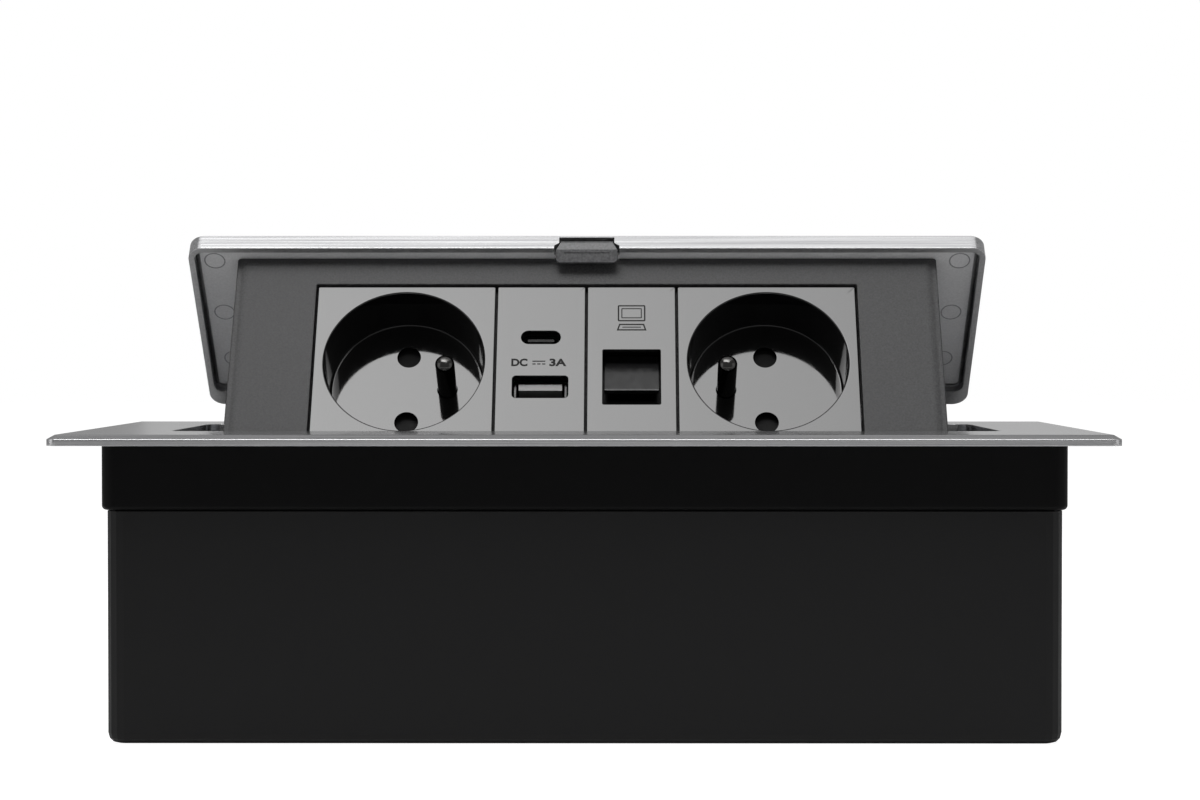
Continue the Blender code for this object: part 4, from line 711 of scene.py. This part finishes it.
def turned(name, profile, centre, steps):
    """A turned solid about the panel's outward direction, from a profile of (radius, height)."""
    radius, height = np.array(profile).T
    turn = np.linspace(0, 2 * np.pi, steps + 1)[:-1]
    circle = np.stack([np.cos(turn), np.sin(turn)], axis=-1)
    return surface(name, stacked(radius[:, None, None] * circle + np.array(centre), height))


def face_plate(name, low, high):
    """A module's front: a thin plate with eased edges."""
    profile = eased(
        [(3 * MM, -FACE_THICKNESS), (0, -FACE_THICKNESS), (0, 0), (3 * MM, 0)],
        [0, 0.1 * MM, FACE_EASE, 0],
    )
    return surface(name, inset_rows((low[0], high[0], low[1], high[1]), 0.4 * MM, profile))


for side in sides:
    low, high = panel_box("socket_face_" + side)
    pin_low, pin_high = panel_box("earth_pin_" + side)
    middle = (low[0] + high[0]) / 2
    centre = (middle, SOCKET_HEIGHT)
    pin_place = ((pin_low[0] + pin_high[0]) / 2, SOCKET_HEIGHT)
    front = face_plate("front_" + side, low, high)
    back = -SOCKET_DEPTH - SOCKET_WALL
    cup = turned(
        "cup",
        eased(
            [
                (SOCKET_FLOOR / 2, back),
                (SOCKET_FLOOR + SOCKET_WALL, back),
                (SOCKET_RADIUS + SOCKET_WALL, -FACE_THICKNESS / 2),
                (SOCKET_RADIUS / 2, -FACE_THICKNESS / 2),
            ],
            [0, MM, 0, 0],
        ),
        centre,
        WELL_STEPS,
    )
    carve(front, cup, operation="UNION")
    well = turned(
        "well",
        eased(
            [
                (SOCKET_FLOOR / 2, -SOCKET_DEPTH),
                (SOCKET_FLOOR, -SOCKET_DEPTH),
                (SOCKET_RADIUS, 0),
                (SOCKET_RADIUS + 2 * MM, 0.01 * MM),
                (SOCKET_RADIUS + 2 * MM, 2 * MM),
            ],
            [0, WELL_EASE, WELL_EASE, 0, 0],
            6,
        ),
        centre,
        WELL_STEPS,
    )
    holes = (
        ((middle, SOCKET_HEIGHT - CONTACT_OFFSET), CONTACT_HOLE),
        ((middle, SOCKET_HEIGHT + CONTACT_OFFSET), CONTACT_HOLE),
        (pin_place, PIN_HOLE),
    )
    drills = [
        turned("drill", [(radius, back - MM), (radius, -SOCKET_DEPTH + MM)], spot, HOLE_STEPS)
        for spot, radius in holes
    ]
    carve(front, well, *drills)
    place(front, on_panel)
    fit(front, gloss_black, "tilt_unit", "gloss_black", "socket_face_" + side)

# Earth pins: nickel plated rods with a domed tip, each standing on the floor of its well.
PIN_RADIUS = 2.4 * MM
PIN_DOME = 0.75 * PIN_RADIUS
PIN_STEPS = 48
# Painted dark reflection: the nickel's colour is darkened to stand for the dark surroundings that the pins mirror.
nickel, nodes, links, shader = blank("nickel_painted_dark_reflection", (0.07, 0.069, 0.067), 0.12, 1.0)
plating = grain(nodes, links, 300)
links.new(spread(nodes, links, plating, 0.08, 0.18), shader.inputs["Roughness"])
dome = np.radians(np.linspace(0, 85, 12))
for side in sides:
    low, high = panel_box("earth_pin_" + side)
    centre = ((low[0] + high[0]) / 2, SOCKET_HEIGHT)
    tip = high[2] - PIN_DOME
    domed = np.stack([PIN_RADIUS * np.cos(dome), tip + PIN_DOME * np.sin(dome)], axis=-1)
    profile = [(PIN_RADIUS, low[2]), (PIN_RADIUS, tip), *domed[1:]]
    pin = place(turned("pin_" + side, profile, centre, PIN_STEPS), on_panel)
    fit(pin, nickel, "tilt_unit", "nickel", "earth_pin_" + side)

# Inner mouldings: plain black working parts behind the fronts, and the stamped brass in them.
inner_black = grey_moulding(
    "inner_moulding", (0.006, 0.006, 0.006), (0.012, 0.012, 0.012), 0.5, 1500, 0.01 * MM, 0.2
)
redress(inner_black, "module_frame", "usb_housing", "data_housing", "data_jack")
redress(inner_black, *(f"socket_body_{side}" for side in sides))
shutter_grey = grey_moulding(
    "shutter_skin", (0.003, 0.003, 0.003), (0.006, 0.006, 0.006), 0.6, 1500, 0.01 * MM, 0.12
)
redress(shutter_grey, *(f"socket_shutter_{side}" for side in sides))
brass, nodes, links, shader = blank("stamped_brass", (0.7, 0.5, 0.22), 0.28, 1.0)
stain = grain(nodes, links, 220, detail=4.0)
tint(nodes, links, stain, shader, (0.6, 0.42, 0.18), (0.78, 0.58, 0.28))
redress(brass, "jack_contacts", *(f"{end}_clip_{side}" for end in ("lower", "upper") for side in sides))

# Charger: its polished front is cut for two ports. Each port has a folded nickel shell round a tongue, and
# the larger port's tongue is a paler moulding. The board behind them has a green solder resist.
PORT_DEPTH = 6.0 * MM
PORT_FLARE = 1.2 * MM
USB_C_HEIGHT = 26.8 * MM
USB_C_HALF = (4.85 * MM, 1.85 * MM)
USB_A_HEIGHT = 12.5 * MM
USB_A_HALF = (6.85 * MM, 3.1 * MM)
usb_low, usb_high = panel_box("usb_face")
usb_x = (usb_low[0] + usb_high[0]) / 2
usb_front = face_plate("charger_front", usb_low, usb_high)


def port_cut(name, x, y, half, radius, ease=0.18 * MM):
    """A cutter with a flared mouth for a port or a window."""
    profile = eased(
        [(0, -PORT_DEPTH), (0, 0), (-PORT_FLARE, 0.01 * MM), (-PORT_FLARE, 2 * MM)],
        [0, ease, 0, 0],
    )
    return surface(name, inset_rows((x - half[0], x + half[0], y - half[1], y + half[1]), radius, profile))


carve(
    usb_front,
    port_cut("small_port", usb_x, USB_C_HEIGHT, USB_C_HALF, USB_C_HALF[1] - 0.02 * MM),
    port_cut("large_port", usb_x, USB_A_HEIGHT, USB_A_HALF, 0.9 * MM),
)
place(usb_front, on_panel)
fit(usb_front, gloss_black, "tilt_unit", "gloss_black", "usb_face")
# Painted shade: the shells' nickel is darkened to stand for the shade inside the ports.
shell_nickel_painted_shade, nodes, links, shader = blank("shell_nickel_painted_shade", (0.03, 0.03, 0.03), 0.25, 1.0)
links.new(spread(nodes, links, grain(nodes, links, 500), 0.18, 0.32), shader.inputs["Roughness"])
redress(shell_nickel_painted_shade, "usb_a_shell", "usb_c_shell")
tongue_white, nodes, links, shader = blank("tongue_moulding", (0.14, 0.14, 0.14), 0.35)
tint(nodes, links, grain(nodes, links, 600), shader, (0.12, 0.12, 0.118), (0.17, 0.17, 0.167))
redress(tongue_white, "usb_a_tongue")
redress(inner_black, "usb_c_tongue")
board_green, nodes, links, shader = blank("solder_resist", (0.02, 0.12, 0.05), 0.35)
tint(nodes, links, grain(nodes, links, 700), shader, (0.015, 0.1, 0.04), (0.025, 0.15, 0.065))
redress(board_green, "usb_board")

# Data outlet: a polished front with a window, closed from behind by a sliding dust shutter with a
# finger lip.
DATA_HALF_X = 7.15 * MM
DATA_LOW = 7.5 * MM
DATA_HIGH = 23.2 * MM
SHUTTER_HALF = 6.65 * MM


def across_bar(name, outline, x0, x1):
    """A bar along X with this outline of (up, out) points, closed by flat ends."""
    count = len(outline)
    ends = [np.insert(outline, 0, x, axis=1) for x in (x0, x1)]
    here = np.arange(count)
    after = np.roll(here, -1)
    faces = np.stack([here, after, after + count, here + count], axis=-1).tolist()
    faces += [here[::-1].tolist(), (here + count).tolist()]
    return solid(name, np.concatenate(ends), faces)


data_low, data_high = panel_box("data_face")
data_x = (data_low[0] + data_high[0]) / 2
data_front = face_plate("data_front", data_low, data_high)
data_middle = (DATA_LOW + DATA_HIGH) / 2
data_half = (DATA_HALF_X, DATA_HIGH - data_middle)
carve(data_front, port_cut("window", data_x, data_middle, data_half, 0.35 * MM, 0.15 * MM))
place(data_front, on_panel)
fit(data_front, gloss_black, "tilt_unit", "gloss_black", "data_face")
shutter_black, nodes, links, shader = blank("shutter_moulding", (0.006, 0.006, 0.0063), 0.2)
links.new(spread(nodes, links, grain(nodes, links, 500), 0.16, 0.26), shader.inputs["Roughness"])
shutter_outline = eased(
    [
        (11.95, -2.45),
        (11.75, -0.55),
        (12.2, -0.5),
        (12.55, -1.45),
        (21.5, -3.6),
        (22.0, -4.9),
        (24.4, -5.0),
        (24.4, -6.0),
    ],
    np.array([0.1, 0.05, 0.06, 0.15, 0.1, 0.1, 0.1, 0.1]),
    closed=True,
) * MM
shutter_x = (data_x - SHUTTER_HALF, data_x + SHUTTER_HALF)
dust_shutter = across_bar("dust_shutter", shutter_outline, *shutter_x)
fit(place(dust_shutter, on_panel), shutter_black, "dust_shutter", "inner_plastic", "data_shutter")

# Marks: a rating under the small port and a computer on the data outlet, printed in matt grey ink that
# stands two hundredths of a millimetre proud of the polish.
INK = 0.02 * MM
INK_FOOT = -0.05 * MM
RATING_HEIGHT = 2.2 * MM
RATING_WIDTH = 14.4 * MM
RATING_MIDDLE = 19.5 * MM
KIND_WIDTH = 4.0 * MM
AMPS_WIDTH = 4.2 * MM
SYMBOL_LEFT = 5.2 * MM
SYMBOL_RIGHT = 8.4 * MM
DASH_PITCH = 1.2 * MM
DASH_LENGTH = 0.8 * MM
LINE = 0.36 * MM
ink, nodes, links, shader = blank("matt_ink", (0.05, 0.05, 0.05), 0.7, 0, 0.1)
tint(nodes, links, grain(nodes, links, 2500), shader, (0.016, 0.016, 0.016), (0.025, 0.025, 0.025))


def line_loop(name, outline, width):
    """A printed line of this width along the inside of a closed outline."""
    outline = np.array(outline, float)
    ahead = np.roll(outline, -1, axis=0) - outline
    ahead /= np.linalg.norm(ahead, axis=1)[:, None]
    behind = np.roll(ahead, 1, axis=0)
    inward = np.stack([-ahead[:, 1] - behind[:, 1], ahead[:, 0] + behind[:, 0]], axis=-1)
    inward /= (1 + (ahead * behind).sum(axis=1))[:, None]
    inner = outline + inward * width
    rows = stacked(np.stack([outline, outline, inner, inner]), [INK_FOOT, INK, INK, INK_FOOT])
    return surface(name, rows, ring=True)


def bar(name, x0, x1, y0, y1):
    """A printed bar between these bounds."""
    return slab(name, x0, x1, y0, y1, INK_FOOT, INK)


def lettering(name, text, width, height, middle):
    """A word as a flat mesh, drawn out to this width and height."""
    curve = bpy.data.curves.new(name, "FONT")
    curve.body = text
    curve.extrude = 0.5
    curve.offset = 0.04
    written = bpy.data.objects.new(name, curve)
    bpy.context.scene.collection.objects.link(written)
    bpy.context.view_layer.update()
    mesh = bpy.data.meshes.new_from_object(written.evaluated_get(bpy.context.evaluated_depsgraph_get()))
    bpy.data.objects.remove(written, do_unlink=True)
    word = bpy.data.objects.new(name, mesh)
    bpy.context.scene.collection.objects.link(word)

    def drawn(points):
        """The points' box stretched to the word's box about its middle."""
        low, high = points.min(axis=0), points.max(axis=0)
        span = np.array([width, height, INK - INK_FOOT])
        return (points - (low + high) / 2) / (high - low) * span + np.array([*middle, (INK + INK_FOOT) / 2])

    return place(word, drawn)


print_left = usb_x - RATING_WIDTH / 2
kind_middle = (print_left + KIND_WIDTH / 2, RATING_MIDDLE)
amps_middle = (usb_x + RATING_WIDTH / 2 - 2.9 * MM, RATING_MIDDLE)
line_y = (RATING_MIDDLE + 0.2 * MM, RATING_MIDDLE + 0.5 * MM)
dash_y = (RATING_MIDDLE - 0.6 * MM, RATING_MIDDLE - 0.3 * MM)
marks = [
    lettering("rating_kind", "DC", KIND_WIDTH, RATING_HEIGHT, kind_middle),
    bar("rating_line", print_left + SYMBOL_LEFT, print_left + SYMBOL_RIGHT, *line_y),
    lettering("rating_amps", "3A", AMPS_WIDTH, RATING_HEIGHT, amps_middle),
]
for number in range(3):
    left = print_left + SYMBOL_LEFT + number * DASH_PITCH
    marks.append(bar(f"rating_dash_{number + 1}", left, left + DASH_LENGTH, *dash_y))
screen = rounded(data_x - 3.45 * MM, data_x + 3.45 * MM, 31.5 * MM, 36.25 * MM, 0.4 * MM)[0]
glass = rounded(data_x - 2.55 * MM, data_x + 2.55 * MM, 32.4 * MM, 35.35 * MM, 0.2 * MM)[0]
keyboard = np.array([(-3.7, 28.8), (3.7, 28.8), (3.1, 30.75), (-3.1, 30.75)]) * MM + np.array([data_x, 0])
marks += [
    line_loop("computer_screen", screen, LINE),
    line_loop("computer_glass", glass, LINE * 0.7),
    line_loop("computer_keyboard", keyboard, LINE),
    bar("computer_keys", data_x - 2.3 * MM, data_x + 2.3 * MM, 29.65 * MM, 29.9 * MM),
]
for mark in marks:
    fit(place(mark, on_panel), ink, "tilt_unit", "gloss_black")

# Floor and light: a pale sheet under the unit that shows white and keeps the unit's shadow, two soft boxes
# high in front that the polished fronts mirror, a broad one overhead for the lid's edge, and low ones behind
# and at each side.
FLOOR_HALF = 4.0
FLOOR_DROP = 0.2 * MM
FLOOR_GLOW = 0.95
FLOOR_BOUNCE = 0.8
SURROUND_GLOW = 0.3
PANEL_MIDDLE = (0, -0.018, 0.09)
FRONT_AIM = (0.105, 0.06, 0.139)
floor_mesh = bpy.data.meshes.new("floor")
corners = np.array([(-1, -1, 0), (1, -1, 0), (1, 1, 0), (-1, 1, 0)]) * FLOOR_HALF
floor_mesh.from_pydata(corners.tolist(), [], [(0, 1, 2, 3)])
floor = bpy.data.objects.new("floor", floor_mesh)
bpy.context.scene.collection.objects.link(floor)
floor.location = (0, 0, -FLOOR_DROP)
paper, nodes, links, shader = blank("floor_paper", (0.3, 0.3, 0.3), 0.9, 0, 0)
path = nodes.new("ShaderNodeLightPath")
glow = nodes.new("ShaderNodeEmission")
glow.inputs["Strength"].default_value = FLOOR_GLOW
seen = nodes.new("ShaderNodeAddShader")
bounce = nodes.new("ShaderNodeBsdfDiffuse")
bounce.inputs["Color"].default_value = (FLOOR_BOUNCE, FLOOR_BOUNCE, FLOOR_BOUNCE, 1)
pick = nodes.new("ShaderNodeMixShader")
links.new(shader.outputs["BSDF"], seen.inputs[0])
links.new(glow.outputs["Emission"], seen.inputs[1])
links.new(path.outputs["Is Camera Ray"], pick.inputs["Fac"])
links.new(bounce.outputs["BSDF"], pick.inputs[1])
links.new(seen.outputs["Shader"], pick.inputs[2])
links.new(pick.outputs["Shader"], nodes["Material Output"].inputs["Surface"])
floor_mesh.materials.append(paper)


def soft_box(name, centre, target, width, height, radiance, spread=180):
    """An area light of this radiance that faces a point: its power is radiance x pi x its area."""
    light = bpy.data.lights.new(name, "AREA")
    light.shape = "RECTANGLE"
    light.size = width
    light.size_y = height
    light.energy = radiance * math.pi * width * height
    light.spread = math.radians(spread)
    lamp = bpy.data.objects.new(name, light)
    bpy.context.scene.collection.objects.link(lamp)
    lamp.visible_camera = False
    lamp.location = centre
    lamp.rotation_euler = (Vector(target) - Vector(centre)).to_track_quat("-Z", "Y").to_euler()


def from_unit(azimuth, elevation, distance):
    """A place seen from the panel: azimuth 0 is straight in front and 90 is on the right."""
    turn, rise = math.radians(azimuth), math.radians(elevation)
    reach = distance * math.cos(rise)
    return (
        reach * math.sin(turn),
        PANEL_MIDDLE[1] - reach * math.cos(turn),
        PANEL_MIDDLE[2] + distance * math.sin(rise),
    )


soft_box("front_soft_box", from_unit(-12, 62, 1.2), FRONT_AIM, 1.1, 0.4, 1.72, 80)
soft_box("upper_soft_box", from_unit(-12, 77, 1.2), PANEL_MIDDLE, 1.3, 0.25, 2.8)
soft_box("overhead_soft_box", (0, 0.05, 1.15), (0, 0.05, 0), 1.5, 0.55, 0.65)
soft_box("back_soft_box", (0.2, 1.76, 0.37), (0.2, 0, 0.09), 1.25, 0.5, 0.25)
for name, azimuth, radiance in (("left_soft_box", -65, 0.7), ("right_soft_box", 65, 0.5)):
    soft_box(name, from_unit(azimuth, 12, 1.3), PANEL_MIDDLE, 0.7, 0.9, radiance)
world = bpy.data.worlds.new("surround")
bpy.context.scene.world = world
world.use_nodes = True
nodes, links = world.node_tree.nodes, world.node_tree.links
surround = nodes["Background"]
surround.inputs["Color"].default_value = (1, 1, 1, 1)
surround.inputs["Strength"].default_value = SURROUND_GLOW
backdrop = nodes.new("ShaderNodeBackground")
backdrop.inputs["Color"].default_value = (1, 1, 1, 1)
backdrop.inputs["Strength"].default_value = 1.0
path = nodes.new("ShaderNodeLightPath")
mix = nodes.new("ShaderNodeMixShader")
links.new(path.outputs["Is Camera Ray"], mix.inputs["Fac"])
links.new(surround.outputs["Background"], mix.inputs[1])
links.new(backdrop.outputs["Background"], mix.inputs[2])
links.new(mix.outputs["Shader"], nodes["World Output"].inputs["Surface"])
